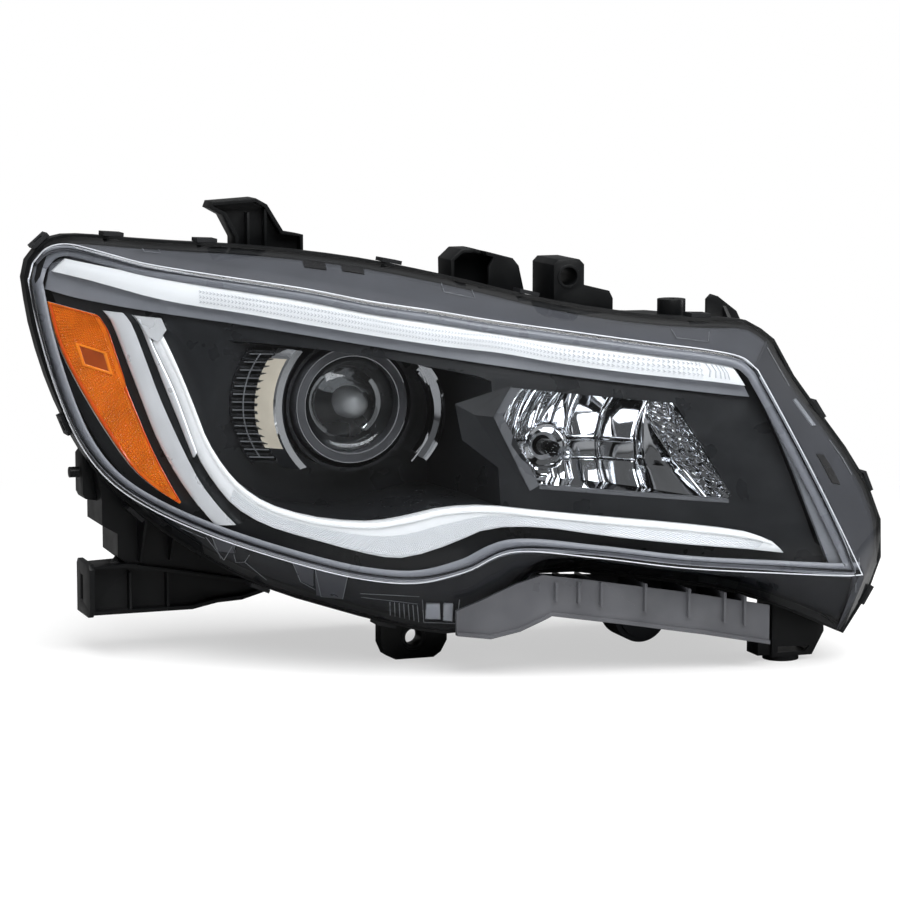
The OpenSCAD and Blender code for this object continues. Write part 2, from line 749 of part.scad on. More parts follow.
holder_lip = 8;
lens_seat_y = 19;
module lens_holder() color(black_plastic) in_lamp()
    rotate([-90, 0, 0]) rotate_extrude($fn = 96) polygon([
        [holder_d / 2 - holder_lip, 0], [holder_d / 2 - 1, 0], [holder_d / 2, 2],
        [holder_d / 2, holder_len], [holder_d / 2 - 8, holder_len],
        [holder_d / 2 - 8, lens_seat_y + 3], [projector_lens_d / 2 + seat_gap, lens_seat_y + 3],
        [projector_lens_d / 2 + seat_gap, 4], [holder_d / 2 - holder_lip, 4]
    ]);

dome_steps = 14;
module projector_lens() color(clear_plastic) in_lamp()
    rotate([-90, 0, 0]) rotate_extrude($fn = 96) polygon(concat(
        [for (i = [0:dome_steps]) let(a = 90 * i / dome_steps)
            [projector_lens_d / 2 * sin(a), lens_seat_y - 3 - dome_depth * cos(a)]],
        [[projector_lens_d / 2, lens_seat_y], [0, lens_seat_y]]
    ));

shield_y = plate_y + plate_thick + 2;
shield_drop = 24;
shield_half = sqrt(pow(bowl_r - bowl_wall - 1.5, 2) - pow(shield_drop, 2));
module cutoff_shield() color(zinc_steel) in_lamp() difference() {
    pull_y([
        [-shield_half, -shield_drop], [shield_half, -shield_drop], [shield_half, -2], [6, -2],
        [0, 1], [-shield_half, 1]
    ], shield_y, shield_y + 1.2);
    y_cylinder(0, -16, shield_y - 1, shield_y + 3, 8);
}

// Parabolic bowl, clipped to the window of the bezel, with a wall round its edge
bowl_turns = 14;
bowl_reach = 150;
bowl_vertex = -10;
module paraboloid(d) translate([high_x, bowl_vertex + d, high_z])
    rotate([90, 0, 0]) rotate_extrude($fn = 96) polygon(concat(
        [for (i = [0:bowl_turns]) let(r = bowl_reach * i / bowl_turns)
            [r, r * r / (4 * focal_length)]],
        [[0, bowl_reach * bowl_reach / (4 * focal_length)]]
    ));
window_grow = 3;
beam_left = 100;
module window_prism(d) pull_y(
    grow([for (p = window_outline) [max(p[0], beam_left), p[1]]], window_grow + d),
    prism_front, 0
);
module behind_bezel() leaned(concat(
    [for (i = [0:flange_cols])
        let(x = mix(60, 320, i / flange_cols))
        [x, plan_y(x) + bezel_depth + bezel_wall + tilt_room + 4]],
    [[320, far_back], [60, far_back]]
));
module high_beam_reflector() color(bright_chrome) in_lamp() {
    difference() {
        intersection() {
            window_prism(reflector_wall);
            paraboloid(reflector_wall);
            behind_bezel();
        }
        intersection() {
            window_prism(0);
            paraboloid(0);
        }
        y_cylinder(high_x, high_z, -60, 40, bulb_base_d + 1);
    }
    for (p = reflector_posts)
        difference() {
            y_cylinder(p[0], p[1], -80, plate_y, 8);
            paraboloid(reflector_wall);
        }
}
reflector_posts = [[128, 2], [210, -8], [212, -62], [130, -62]];

module pivot_studs() color(zinc_steel) in_lamp() {
    translate([pivot_places[0], pivot_y, pivot_z]) sphere(d = ball_d);
    translate([pivot_places[1], pivot_y, pivot_z]) sphere(d = ball_d);
    difference() {
        y_cylinder(pivot_places[0], pivot_z, pivot_y, deep_back - housing_wall, 6);
        translate([pivot_places[0], pivot_y, pivot_z]) sphere(d = ball_d - 0.5);
    }
    difference() {
        y_cylinder(pivot_places[1], pivot_z, pivot_y, shallow_back - housing_wall, 6);
        translate([pivot_places[1], pivot_y, pivot_z]) sphere(d = ball_d - 0.5);
    }
}

// Cup that snaps over a ball: closed in front, open at the back for the stud
cup_mouth = 2.5;
module ball_socket(x, z) {
    cup_r = ball_d / 2 + ball_gap;
    mouth = asin(cup_mouth / cup_r);
    translate([x, pivot_y, z]) rotate([90, 0, 0]) rotate_extrude() polygon(concat(
        [[0, cup_r + 3], [socket_r, cup_r + 3], [socket_r, -cup_mouth]],
        [for (i = [0:12]) let(a = mix(-mouth, 90, i / 12)) [cup_r * cos(a), cup_r * sin(a)]]
    ));
}

module pivot_sockets() color(frosted_white) in_lamp()
    for (x = pivot_places)
        ball_socket(x, pivot_z);

module aim_socket() color(frosted_white) in_lamp() ball_socket(aim_x, aim_z);

screw_head_d = 7;
module projector_screws() color(zinc_steel) in_lamp()
    for (a = [30:120:270])
        y_cylinder((bowl_r + 6) * cos(a), (bowl_r + 6) * sin(a),
            plate_y + plate_thick, plate_y + plate_thick + 3, screw_head_d);

// ---- Aiming screw ----
wheel_y = shallow_back + 8;
wheel_len = 9;
wheel_d = 22;
stud_len = 52;
module aim_stud() color(zinc_steel) in_lamp() {
    translate([aim_x, pivot_y, aim_z]) sphere(d = ball_d);
    difference() {
        y_cylinder(aim_x, aim_z, pivot_y, pivot_y + stud_len, screw_d);
        translate([aim_x, pivot_y, aim_z]) sphere(d = ball_d - 0.5);
    }
}

guide_flange_d = 30;
module aim_guide() color(grey_plastic) in_lamp() difference() {
    union() {
        y_cylinder(aim_x, aim_z, shallow_back, shallow_back + 3, guide_flange_d);
        y_cylinder(aim_x, aim_z, shallow_back - 10, shallow_back + 3, aim_hole_d - 0.4);
        y_cylinder(aim_x, aim_z, shallow_back, wheel_y - 0.3, wheel_d - 4);
    }
    y_cylinder(aim_x, aim_z, shallow_back - 20, shallow_back + 30, screw_d + 2 * screw_gap);
}

wheel_teeth = 12;
module aim_wheel() color(frosted_white) in_lamp() difference() {
    union() {
        y_cylinder(aim_x, aim_z, wheel_y, wheel_y + wheel_len, wheel_d - 4);
        for (i = [0:wheel_teeth - 1])
            translate([aim_x, wheel_y, aim_z]) rotate([0, 360 * i / wheel_teeth, 0])
                translate([-1.4, 0, 0]) cube([2.8, wheel_len, wheel_d / 2]);
    }
    y_cylinder(aim_x, aim_z, wheel_y - 1, wheel_y + wheel_len + 1, screw_d + 2 * screw_gap);
}

// ---- Bulbs and caps ----
module bulb_glass(x, z, base_y)
    translate([x, base_y, z]) rotate([90, 0, 0]) rotate_extrude($fn = 48) polygon(concat(
        [[0, 0], [bulb_glass_d / 2, 0]],
        [for (a = [0:15:90])
            [bulb_glass_d / 2 * cos(a), bulb_glass_len - bulb_glass_d / 2 * (1 - sin(a))]]
    ));

base_len = 10;
module bulb_base(x, z, base_y) {
    y_cylinder(x, z, base_y, base_y + base_len, bulb_base_d);
    y_cylinder(x, z, base_y + base_len, base_y + base_len + 3, bulb_base_d - 2);
    translate([x - 9, base_y + base_len + 3, z - 7]) cube([18, 15, 14]);
    for (a = [20, 140, 260])
        translate([x, base_y + base_len - 4, z]) rotate([0, a, 0])
            translate([-3, 0, 0]) cube([6, 3, bulb_base_d / 2 + 2.5]);
}

low_base_y = bowl_back + seat_gap;
high_base_y = bowl_vertex + 8;
module low_beam_bulb() color(clear_plastic) in_lamp() bulb_glass(0, 0, low_base_y);
module low_beam_bulb_base() color(black_plastic) in_lamp() bulb_base(0, 0, low_base_y);
module high_beam_bulb() color(clear_plastic) in_lamp()
    bulb_glass(high_x, high_z, high_base_y);
module high_beam_bulb_base() color(black_plastic) in_lamp()
    bulb_base(high_x, high_z, high_base_y);

grip_count = 6;
spigot_len = 14;
gasket_thick = 2;
module rear_cap(x, z, y, d) {
    face_d = d + 2 * collar_wall + 6;
    difference() {
        union() {
            y_cylinder(x, z, y + gasket_thick, y + gasket_thick + 4, face_d);
            y_cylinder(x, z, y + gasket_thick + 4, y + cap_len, d);
            y_cylinder(x, z, y - spigot_len, y + gasket_thick, d - 2 * cap_gap);
            for (i = [0:grip_count - 1])
                translate([x, y + gasket_thick, z]) rotate([0, 360 * i / grip_count, 0])
                    translate([-4, 0, 0]) cube([8, cap_len - gasket_thick, d / 2 + 4]);
        }
        y_cylinder(x, z, y - spigot_len - 1, y + cap_len - 3, d - 8);
    }
}

module cap_gasket(x, z, y, d) difference() {
    y_cylinder(x, z, y, y + gasket_thick, d + 2 * collar_wall);
    y_cylinder(x, z, y - 1, y + gasket_thick + 1, d);
}

low_cap_y = deep_back + collar_len;
high_cap_y = shallow_back + collar_len;
module low_beam_cap() color(black_plastic) in_lamp() rear_cap(0, 0, low_cap_y, low_cap_d);
module low_cap_gasket() color(rubber_black) in_lamp()
    cap_gasket(0, 0, low_cap_y, low_cap_d);
module high_beam_cap() color(black_plastic) in_lamp()
    rear_cap(high_x, high_z, high_cap_y, high_cap_d);
module high_cap_gasket() color(rubber_black) in_lamp()
    cap_gasket(high_x, high_z, high_cap_y, high_cap_d);

module side_marker_socket() color(grey_plastic) in_lamp() {
    y_cylinder(marker_x, marker_z, tip_back - 24, tip_back, marker_hole_d - 2 * cap_gap);
    y_cylinder(marker_x, marker_z, tip_back, tip_back + marker_flange, marker_hole_d + 6);
    translate([marker_x - 9, tip_back + marker_flange, marker_z - 6])
        cube([18, marker_plug, 12]);
}

module side_marker_bulb() color(amber_plastic) in_lamp()
    translate([marker_x, tip_back - 24, marker_z]) rotate([90, 0, 0])
        rotate_extrude() polygon([[0, 0], [5, 0], [5, 4], [9, 10], [9, 16], [5, 22], [0, 24]]);

// ---- Fixed rear pieces ----
module vent_caps() color(rubber_black) in_lamp()
    for (v = vent_places) {
        y_cylinder(v[0], v[2], v[1] - 8, v[1], vent_d - 6);
        y_cylinder(v[0], v[2], v[1], v[1] + 9, vent_d);
    }

connector_len = 16;
module main_connector() color(black_plastic) in_lamp() {
    translate([connector_x, deep_back, connector_z]) {
        difference() {
            translate([-19, 0, -14]) cube([38, 3, 28]);
            translate([-12, 1.5, -7]) cube([24, 3, 14]);
        }
        translate([-14 + seat_gap, -10, -9 + seat_gap])
            cube([28 - 2 * seat_gap, 10, 18 - 2 * seat_gap]);
        difference() {
            translate([-15, 3, -10]) cube([30, connector_len, 20]);
            translate([-12, 2, -7]) cube([24, connector_len + 3, 14]);
        }
        for (i = [-2:2])
            for (k = [-3, 3])
                translate([i * 4.6 - 0.6, 1.5, k - 0.6]) cube([1.2, 10, 1.2]);
    }
}

driver_x = 221;
driver_z = -168;
driver_d = 44;
driver_tower = 80;
driver_half = 30;
module led_driver_module() color(black_plastic) in_lamp() difference() {
    union() {
        y_cylinder(driver_x, driver_z, -42, -12, driver_d);
        y_cylinder(driver_x, driver_z, -45, -42, driver_d - 8);
        translate([driver_x - driver_half, -30, driver_z])
            cube([2 * driver_half, 18, driver_tower]);
    }
    housing_outer();
}

driver_screw_d = 7;
module driver_screws() color(zinc_steel) in_lamp()
    for (x = [-1, 1])
        translate([driver_x + x * (driver_half - driver_screw_d / 2 - 0.5), -21, driver_z - 3])
            cylinder(h = 3, d = driver_screw_d);

// Clips that hold the lens rim to the housing: one for each place along the flange
clip_steps = [2, 7, 11, 17, 22, 28, 34, 36, 39, 54, 58, 62, 66];
clip_len = 16;
clip_wall = 2;
module lens_clips() color(black_plastic) in_lamp()
    for (i = clip_steps) {
        p = flange_loop[i];
        e = flange_loop[i + 1] - flange_loop[i - 1];
        n = loop_normal(flange_loop, i);
        q = p + (rim_out + seat_gap) * n;
        translate([q[0], flange_y(p[0], p[1]) + 2, q[1]])
            rotate([0, -atan2(e[1], e[0]), 0]) difference() {
                translate([-clip_len / 2, 0, 0]) cube([clip_len, rim_depth + 2, clip_wall + 1]);
                translate([-clip_len / 2 + 4, 3, -1]) cube([clip_len - 8, 6, clip_wall + 4]);
            }
    }

// ---- Brackets ----
hook_outline = [
    [-84, 145], [-82, 150], [-47, 152], [-38, 147], [-25, 126], [-9, 123], [-9, 94],
    [-64, 94], [-64, 122], [-73, 139]
];
module hook_bracket() color(black_plastic) in_lamp() on_housing() {
    difference() {
        pull_y(hook_outline, 92, 114);
        pull_y(grow(hook_outline, -bracket_wall), 91, 101);
        pull_y(grow(hook_outline, -bracket_wall), 104, 115);
    }
    for (x = [-54, -40])
        pull_y([[x, 95], [x, 149 - abs(x + 46)], [x + 2, 149 - abs(x + 46)], [x + 2, 95]],
            93, 113);
}

clip_bracket_outline = [
    [88, 56], [87, 106], [96, 114], [108, 114], [138, 106], [143, 100], [153, 56]
];
module clip_bracket() color(black_plastic) in_lamp() on_housing() {
    difference() {
        pull_y(clip_bracket_outline, 20, 50);
        pull_y(grow(clip_bracket_outline, -bracket_wall), 19, 50 - bracket_wall);
        translate([105, 19, 100]) cube([11, 14, 20]);
    }
    pull_y([[118, 56], [118, 100], [123, 109], [137, 105], [142, 99], [152, 56]], 20, 23);
}

bolt_x = 169;
bolt_z = 94;
boss_wall = 4;
bolt_front = -18;
bolt_back = 27;
module bolt_bracket() color(black_plastic) in_lamp() on_housing() difference() {
    union() {
        pull_y([
            [bolt_x - 12, 56], [bolt_x - 12, bolt_z + 9], [bolt_x - 8, bolt_z + 13],
            [bolt_x + 9, bolt_z + 13], [bolt_x + 13, bolt_z + 9], [bolt_x + 13, 56]
        ], bolt_front, bolt_back);
        pull_y([
            [bolt_x + 10, 50], [bolt_x + 10, bolt_z - 6], [bolt_x + 34, bolt_z - 12],
            [bolt_x + 37, bolt_z - 18], [bolt_x + 37, 50]
        ], bolt_front, bolt_front + 26);
        y_cylinder(bolt_x, bolt_z, bolt_front - 1, bolt_front + 1,
            bolt_bore_d + boss_wall);
    }
    y_cylinder(bolt_x, bolt_z, bolt_front - 10, bolt_back + 10, bolt_bore_d);
    translate([bolt_x - 8, bolt_front + bracket_wall, 60])
        cube([17, bolt_back - bolt_front, bolt_z - 60 - bolt_bore_d / 2 - boss_wall]);
}

boss_x = 252;
boss_y = -25;
boss_top = 75;
boss_d = 22;
boss_bore_len = 16;
module locator_boss() color(black_plastic) in_lamp() on_housing() difference() {
    union() {
        translate([boss_x, boss_y, 20]) cylinder(h = boss_top - 20, d = boss_d);
        translate([boss_x, boss_y - 8, 20]) cube([52, 16, 38]);
        pull_y([
            [boss_x + 32, 20], [boss_x + 32, boss_top - 2], [boss_x + 36, boss_top + 2],
            [boss_x + 42, boss_top], [boss_x + 58, boss_top - 12], [boss_x + 61, boss_top - 18],
            [boss_x + 61, 20]
        ], boss_y + 5, boss_y + 5 + bracket_wall);
        pull_x([[boss_y - 8, 57], [boss_y + 6, 57], [boss_y + 6, 68]],
            boss_x + 46, boss_x + 49);
    }
    translate([boss_x, boss_y, boss_top - boss_bore_len])
        cylinder(h = boss_bore_len + 1, d = boss_bore_d);
}

arm_front = 96;
arm_back = 126;
arm_end_x = -184;
arm_outline = [
    [-180, -130], [-150, -129], [-100, -138], [-46, -149], [-42, -158], [-60, -163], [-80, -164],
    [-100, -168], [-180, -168]
];
slot_len = 20;
slot_w = 8;
slot_y = arm_front + 18;
slot_z = -148;
module side_arm_bracket() color(black_plastic) in_lamp() on_housing() difference() {
    union() {
        difference() {
            pull_y(arm_outline, arm_front, arm_back);
            pull_y(grow(arm_outline, -bracket_wall), arm_front - 1, arm_front + 10);
            pull_y(grow(arm_outline, -bracket_wall), arm_front + 13, arm_back + 1);
        }
        for (x = [-150, -120])
            pull_y([[x, -166], [x, -136], [x + 2, -136], [x + 2, -166]],
                arm_front + 2, arm_back - 2);
        pull_x([
            [arm_front - 8, -131], [arm_front - 8, -164], [arm_front - 2, -169],
            [arm_back + 4, -169], [arm_back + 4, -131], [arm_back, -127], [arm_front - 4, -127]
        ], arm_end_x, arm_end_x + bracket_wall + 1);
        pull_y([[-166, -133], [-150, -114], [-144, -114], [-144, -136]], arm_front + 10,
            arm_front + 13);
    }
    translate([arm_end_x - 1, slot_y - slot_w / 2, slot_z - slot_len / 2])
        cube([2 * bracket_wall + 4, slot_w, slot_len]);
}

tab_x = 50;
tab_z = 17 - stand_height;
tab_front = 4;
tab_thick = 14;
tab_half = 26;
module lower_bolt_tab() color(black_plastic) in_lamp() on_housing() difference() {
    union() {
        pull_y([
            [tab_x - tab_half, -140], [tab_x + tab_half + 2, -140],
            [tab_x + tab_half + 2, 13 - stand_height],
            [tab_x + tab_half - 3, 4 - stand_height], [tab_x + tab_half - 9, -stand_height],
            [tab_x - tab_half + 12, -stand_height], [tab_x - tab_half + 4, 4 - stand_height],
            [tab_x - tab_half, 13 - stand_height]
        ], tab_front, tab_front + tab_thick);
        y_cylinder(tab_x, tab_z, tab_front - 1, tab_front + 1, tab_bore_d + 7);
    }
    y_cylinder(tab_x, tab_z, tab_front - 5, tab_front + tab_thick + 5, tab_bore_d);
}

foot_front = -104;
foot_back = -76;
foot_outline = [
    [304, -146], [346, -152], [348, 22 - stand_height], [338, 4 - stand_height],
    [304, 4 - stand_height]
];
foot_pad_x = 318;
foot_pad_y = -90;
module corner_foot() color(black_plastic) in_lamp() on_housing() {
    difference() {
        union() {
            pull_y(foot_outline, foot_front, foot_back);
            translate([294, foot_front + 4, 5 - stand_height]) cube([14, 20, 14]);
        }
        pull_y(grow(foot_outline, -bracket_wall), foot_front + bracket_wall, foot_back + 1);
        pull_y([
            [309, 12 - stand_height], [336, 11 - stand_height], [332, 7 - stand_height],
            [309, 7 - stand_height]
        ], foot_front - 1, foot_back);
    }
    translate([foot_pad_x, foot_pad_y, -stand_height]) cylinder(h = 5, d = 28);
}

// Apron below the lens: a bowed panel, a floor strip, a back wall and gussets
apron_top = [
    [57, -149], [74, -141], [98, -128], [116, -121], [152, -126], [225, -138], [292, -151]
];
apron_bottom = [
    [57, -168], [80, -170], [100, -164], [122, -152], [175, -160], [240, -171], [292, -181]
];
apron_ribs = [124, 141, 158, 192, 226, 254, 270];
apron_rib_top = [[116, -125.5], [122, -126], [190, -129], [262, -140], [292, -148]];
apron_front = [[50, -72], [80, -85], [118, -102], [160, -109], [225, -117], [310, -126]];
apron_depth = 50;
apron_turn_x = 116;
rib_proud = 4;
rib_foot = 12;
lip_proud = 2;
function backwards(line) = [for (i = [len(line) - 1:-1:0]) line[i]];
module apron_plan(d, thick)
    translate([0, 0, -stand_height]) linear_extrude(stand_height) polygon(concat(
        [for (p = apron_front) p + [0, d]], backwards([for (p = apron_front) p + [0, d + thick]])
    ));
module apron_face(top, bottom = apron_bottom) intersection() {
    pull_y(concat(top, backwards(bottom)), -140, 20);
    translate([top[0][0], -140, -stand_height]) cube([300, 160, stand_height]);
}
module lower_rib_panel() color(black_plastic) in_lamp() difference() {
    union() {
        intersection() {
            apron_face(apron_top);
            apron_plan(0, bracket_wall);
        }
        intersection() {
            apron_face([
                for (p = apron_bottom) if (p[0] > apron_turn_x) p + [0, bracket_wall]
            ]);
            apron_plan(0, apron_depth);
        }
        intersection() {
            apron_face([for (p = apron_rib_top) p - [0, 2]]);
            apron_plan(apron_depth - bracket_wall, bracket_wall);
        }
        intersection() {
            for (x = apron_ribs)
                translate([x, -140, -stand_height]) cube([2, 140, 100]);
            apron_face(apron_rib_top);
            apron_plan(0.5, apron_depth - 1);
        }
        intersection() {
            for (x = apron_ribs)
                translate([x, -140, -stand_height]) cube([2, 140, 100]);
            apron_face(apron_rib_top, [for (p = apron_bottom) p + [0, rib_foot]]);
            apron_plan(-rib_proud, rib_proud + 1);
        }
        intersection() {
            apron_face([for (p = apron_bottom) p + [0, bracket_wall]]);
            apron_plan(-lip_proud, lip_proud + bracket_wall);
        }
    }
    housing_outer();
}

rear_foot_x = 88;
rear_foot_y = 78;
module rear_foot() color(black_plastic) in_lamp() on_housing()
    difference() {
        translate([rear_foot_x - 6, rear_foot_y - 12, -stand_height])
            cube([12, 24, stand_height - 120]);
        for (y = [rear_foot_y - 9.5, rear_foot_y + 1])
            translate([rear_foot_x - 7, y, 4 - stand_height])
                cube([bracket_wall + 3, 8.5, stand_height]);
    }

peg_x = -181;
peg_y = 130;
peg_z = -60;
module locating_peg() color(black_plastic) in_lamp() on_housing() {
    pull_y([[peg_x, -46], [peg_x + 3, -42], [-168, -42], [-160, -60], [-168, -82],
        [peg_x + 2, -80], [peg_x, -76]], peg_y - 12, peg_y + 12);
    translate([peg_x - 8, peg_y, peg_z]) rotate([0, 90, 0]) cylinder(h = 9, d = peg_d);
}

housing();
outer_lens();
lens_sealant();
bezel();
upper_light_guide();
upper_guide_trim();
lower_light_guide();
outboard_strip();
inboard_strip();
inner_edge_trim();
side_reflector();
side_reflector_tray();
projector_arc_outboard();
projector_arc_inboard();
projector_fins();
upper_led_board();
lower_led_board();
led_driver_module();
pivot_studs();
aim_guide();
hook_bracket();
clip_bracket();
bolt_bracket();
locator_boss();
side_arm_bracket();
lower_bolt_tab();
corner_foot();
lower_rib_panel();
rear_foot();
vent_caps();
main_connector();
lens_clips();
driver_screws();
locating_peg();
carrier_frame();
projector_body();
lens_holder();
projector_lens();
cutoff_shield();
high_beam_reflector();
pivot_sockets();
aim_socket();
projector_screws();
low_beam_bulb();
low_beam_bulb_base();
high_beam_bulb();
high_beam_bulb_base();
low_beam_cap();
low_cap_gasket();
high_beam_cap();
high_cap_gasket();
aim_stud();
aim_wheel();
side_marker_socket();
side_marker_bulb();
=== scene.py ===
"""Car headlight assembly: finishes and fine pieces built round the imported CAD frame."""
import math

import bmesh
import bpy
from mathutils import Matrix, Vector


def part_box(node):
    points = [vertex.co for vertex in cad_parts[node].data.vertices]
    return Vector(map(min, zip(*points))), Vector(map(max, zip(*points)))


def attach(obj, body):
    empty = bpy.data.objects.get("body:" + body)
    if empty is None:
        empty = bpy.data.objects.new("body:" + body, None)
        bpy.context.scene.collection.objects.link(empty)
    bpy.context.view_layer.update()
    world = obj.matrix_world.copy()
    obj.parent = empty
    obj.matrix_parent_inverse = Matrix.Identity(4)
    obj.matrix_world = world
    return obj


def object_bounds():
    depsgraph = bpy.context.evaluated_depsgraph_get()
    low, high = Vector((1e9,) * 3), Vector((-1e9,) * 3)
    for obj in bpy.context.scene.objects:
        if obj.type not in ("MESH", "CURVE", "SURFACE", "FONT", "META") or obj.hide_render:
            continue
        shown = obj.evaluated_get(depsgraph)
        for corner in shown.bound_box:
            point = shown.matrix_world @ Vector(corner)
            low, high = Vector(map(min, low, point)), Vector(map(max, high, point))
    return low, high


bl_info = {
    "name": "Car headlight assembly",
    "version": (1, 0, 0),
    "blender": (4, 5, 0),
    "location": "3D View > Sidebar > Headlight",
    "description": "Finishes, optics and small mouldings of a passenger side headlight",
    "category": "Object",
}

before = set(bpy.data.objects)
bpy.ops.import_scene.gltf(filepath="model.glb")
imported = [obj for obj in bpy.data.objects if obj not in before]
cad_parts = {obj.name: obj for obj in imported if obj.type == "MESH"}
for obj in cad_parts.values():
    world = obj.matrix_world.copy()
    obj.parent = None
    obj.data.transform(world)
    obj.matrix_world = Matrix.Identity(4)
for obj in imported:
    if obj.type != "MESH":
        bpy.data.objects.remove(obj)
CAD_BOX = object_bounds()
MM = 0.001

# The lamp's own axes: their origin is on the axis of the projector, 2 mm behind its lens front
_low, _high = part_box("projector_lens")
LAMP = Vector(((_low.x + _high.x) / 2, _low.y + 2 * MM, (_low.z + _high.z) / 2))


def at(x, y, z):
    """Point of the lamp's axes, in millimetres, as a point of the frame in metres."""
    return LAMP + Vector((x, y, z)) * MM


# ---------------------------------------------------------------- settings
def colour(name, text, default):
    return bpy.props.StringProperty(name=name, description=text, default=default)


def length(name, text, millimetres):
    return bpy.props.FloatProperty(name=name, description=text, default=millimetres * MM,
                                   min=0.0, unit="LENGTH", precision=5)


class LampColours(bpy.types.PropertyGroup):
    housing: colour("Housing", "Moulded polypropylene of the housing, sRGB hex", "#101112")
    bezel: colour("Bezel", "Satin black ABS of the bezel, sRGB hex", "#1b1c1e")
    trim: colour("Trim", "Grey ABS behind the upper light guide, sRGB hex", "#6f7176")
    guide: colour("Light guide", "Frosted acrylic of the light guides, sRGB hex", "#dfe0e1")
    amber: colour("Side reflector", "Amber acrylic of the side reflector, sRGB hex", "#d06a12")
    amber_edge: colour("Amber rim", "Polished rim of the side reflector, sRGB hex",
                       "#c4470c")
    reflex: colour("Reflex", "Reflex insert of the side reflector, sRGB hex", "#8f3d10")
    mirror: colour("Mirror", "Vapour coated aluminium, sRGB hex", "#e9eaec")
    steel: colour("Steel", "Zinc plated steel, sRGB hex", "#b9bcc0")
    rubber: colour("Rubber", "EPDM of the seals, sRGB hex", "#17181a")


class LampSizes(bpy.types.PropertyGroup):
    edge: length("Edge radius", "Radius on the moulded edges", 0.4)
    prism: length("Prism", "Pitch of the prisms of the side reflector", 2.1)
    tooth: length("Tooth", "Pitch of the teeth on the upper light guide", 2.2)
    fin_edge: length("Fin edge", "Height of the bright edge of each fin", 0.9)


class LampStage(bpy.types.PropertyGroup):
    distance: bpy.props.FloatProperty(
        name="Distance", description="Camera to the point it looks at", default=2.5,
        unit="LENGTH")
    azimuth: bpy.props.FloatProperty(
        name="Azimuth", description="Camera round the vertical axis",
        default=math.radians(-20), subtype="ANGLE", unit="ROTATION")
    elevation: bpy.props.FloatProperty(
        name="Elevation", description="Camera above the horizon",
        default=math.radians(8), subtype="ANGLE", unit="ROTATION")
    focal: bpy.props.FloatProperty(
        name="Focal length", description="Camera lens in millimetres", default=132.0)
    floor: colour("Floor", "Floor under the lamp, sRGB hex", "#f4f4f4")


def settings():
    scene = bpy.context.scene
    return scene.lamp_colours, scene.lamp_sizes, scene.lamp_stage


# ---------------------------------------------------------------- materials
def linear(text):
    """sRGB hex colour as the linear value that a shader takes."""
    parts = [int(text[i:i + 2], 16) / 255 for i in (1, 3, 5)]
    return tuple(c / 12.92 if c <= 0.04045 else ((c + 0.055) / 1.055) ** 2.4
                 for c in parts) + (1.0,)


def shade(text, share):
    """A linear colour made lighter or darker by a share."""
    return tuple(min(1.0, c * share) for c in linear(text)[:3]) + (1.0,)


def add(tree, kind, inputs=None, stops=(), **values):
    """Adds a node. inputs are socket values or what is linked to them, stops the places and
    colours of a ramp, and values the node's other settings."""
    item = tree.nodes.new(kind)
    for name, value in values.items():
        setattr(item, name, value)
    for name, value in (inputs or {}).items():
        if isinstance(value, bpy.types.Node):
            value = value.outputs[0]
        if isinstance(value, bpy.types.NodeSocket):
            tree.links.new(value, item.inputs[name])
        else:
            item.inputs[name].default_value = value
    for i, (place, tone) in enumerate(stops):
        item.color_ramp.elements[i].position = place
        item.color_ramp.elements[i].color = tone
    return item


def blank(name):
    """Material of this name with its empty tree, or with none if it was made before."""
    material = bpy.data.materials.get(name)
    if material:
        return material, None
    material = bpy.data.materials.new(name)
    material.use_nodes = True
    material.node_tree.nodes.clear()
    return material, material.node_tree


def grained(tree, width, depth, detail=2.0):
    """Normal of a skin whose grain is width wide and depth high, in millimetres."""
    place = add(tree, "ShaderNodeTexCoord").outputs["Object"]
    height = add(tree, "ShaderNodeTexNoise", {
        "Vector": place, "Scale": 1 / (width * MM), "Detail": detail})
    return add(tree, "ShaderNodeBump", {
        "Height": height, "Strength": 1.0, "Distance": depth * MM})


# Part of the noise's range over which a colour or a gloss drifts
DRIFT_LOW, DRIFT_HIGH = 0.3, 0.7


def drifting(tree, text, width, low, high, detail=3.0):
    """Colour that drifts between two shares of itself over width millimetres, and its drift."""
    place = add(tree, "ShaderNodeTexCoord").outputs["Object"]
    drift = add(tree, "ShaderNodeTexNoise", {
        "Vector": place, "Scale": 1 / (width * MM), "Detail": detail})
    stops = (DRIFT_LOW, shade(text, low)), (DRIFT_HIGH, shade(text, high))
    return add(tree, "ShaderNodeValToRGB", {"Fac": drift}, stops), drift


def surface(name, text, rough, grain=0.6, depth=0.02, tone=0.15, metallic=0.0, ior=1.5,
            streak=0.08):
    """Solid finish with a colour that drifts, an uneven gloss and a fine grain.
    grain is the grain's width and depth its height, both in millimetres."""
    material, tree = blank(name)
    if tree is None:
        return material
    base, drift = drifting(tree, text, 28, 1 - tone, 1 + tone)
    gloss = add(tree, "ShaderNodeMapRange", {
        "Value": drift, "From Min": DRIFT_LOW, "From Max": DRIFT_HIGH,
        "To Min": max(0.01, rough - streak), "To Max": rough + streak})
    shader = add(tree, "ShaderNodeBsdfPrincipled", {
        "Base Color": base, "Roughness": gloss, "Normal": grained(tree, grain, depth),
        "Metallic": metallic})
    if not metallic:
        shader.inputs["IOR"].default_value = ior
    add(tree, "ShaderNodeOutputMaterial", {"Surface": shader})
    return material


def polypropylene_moulded(text):
    # Talc filled polypropylene, injection moulded: an even dark grey with a soft low gloss
    return surface("polypropylene_moulded", text, 0.36, depth=0.003, tone=0.12, ior=1.3)


def abs_satin_black(text):
    # ABS from a fine etched mould: near black, with a soft wide highlight on each slope
    return surface("abs_satin_black", text, 0.32, grain=0.5, depth=0.0004, tone=0.1,
                   ior=1.4)


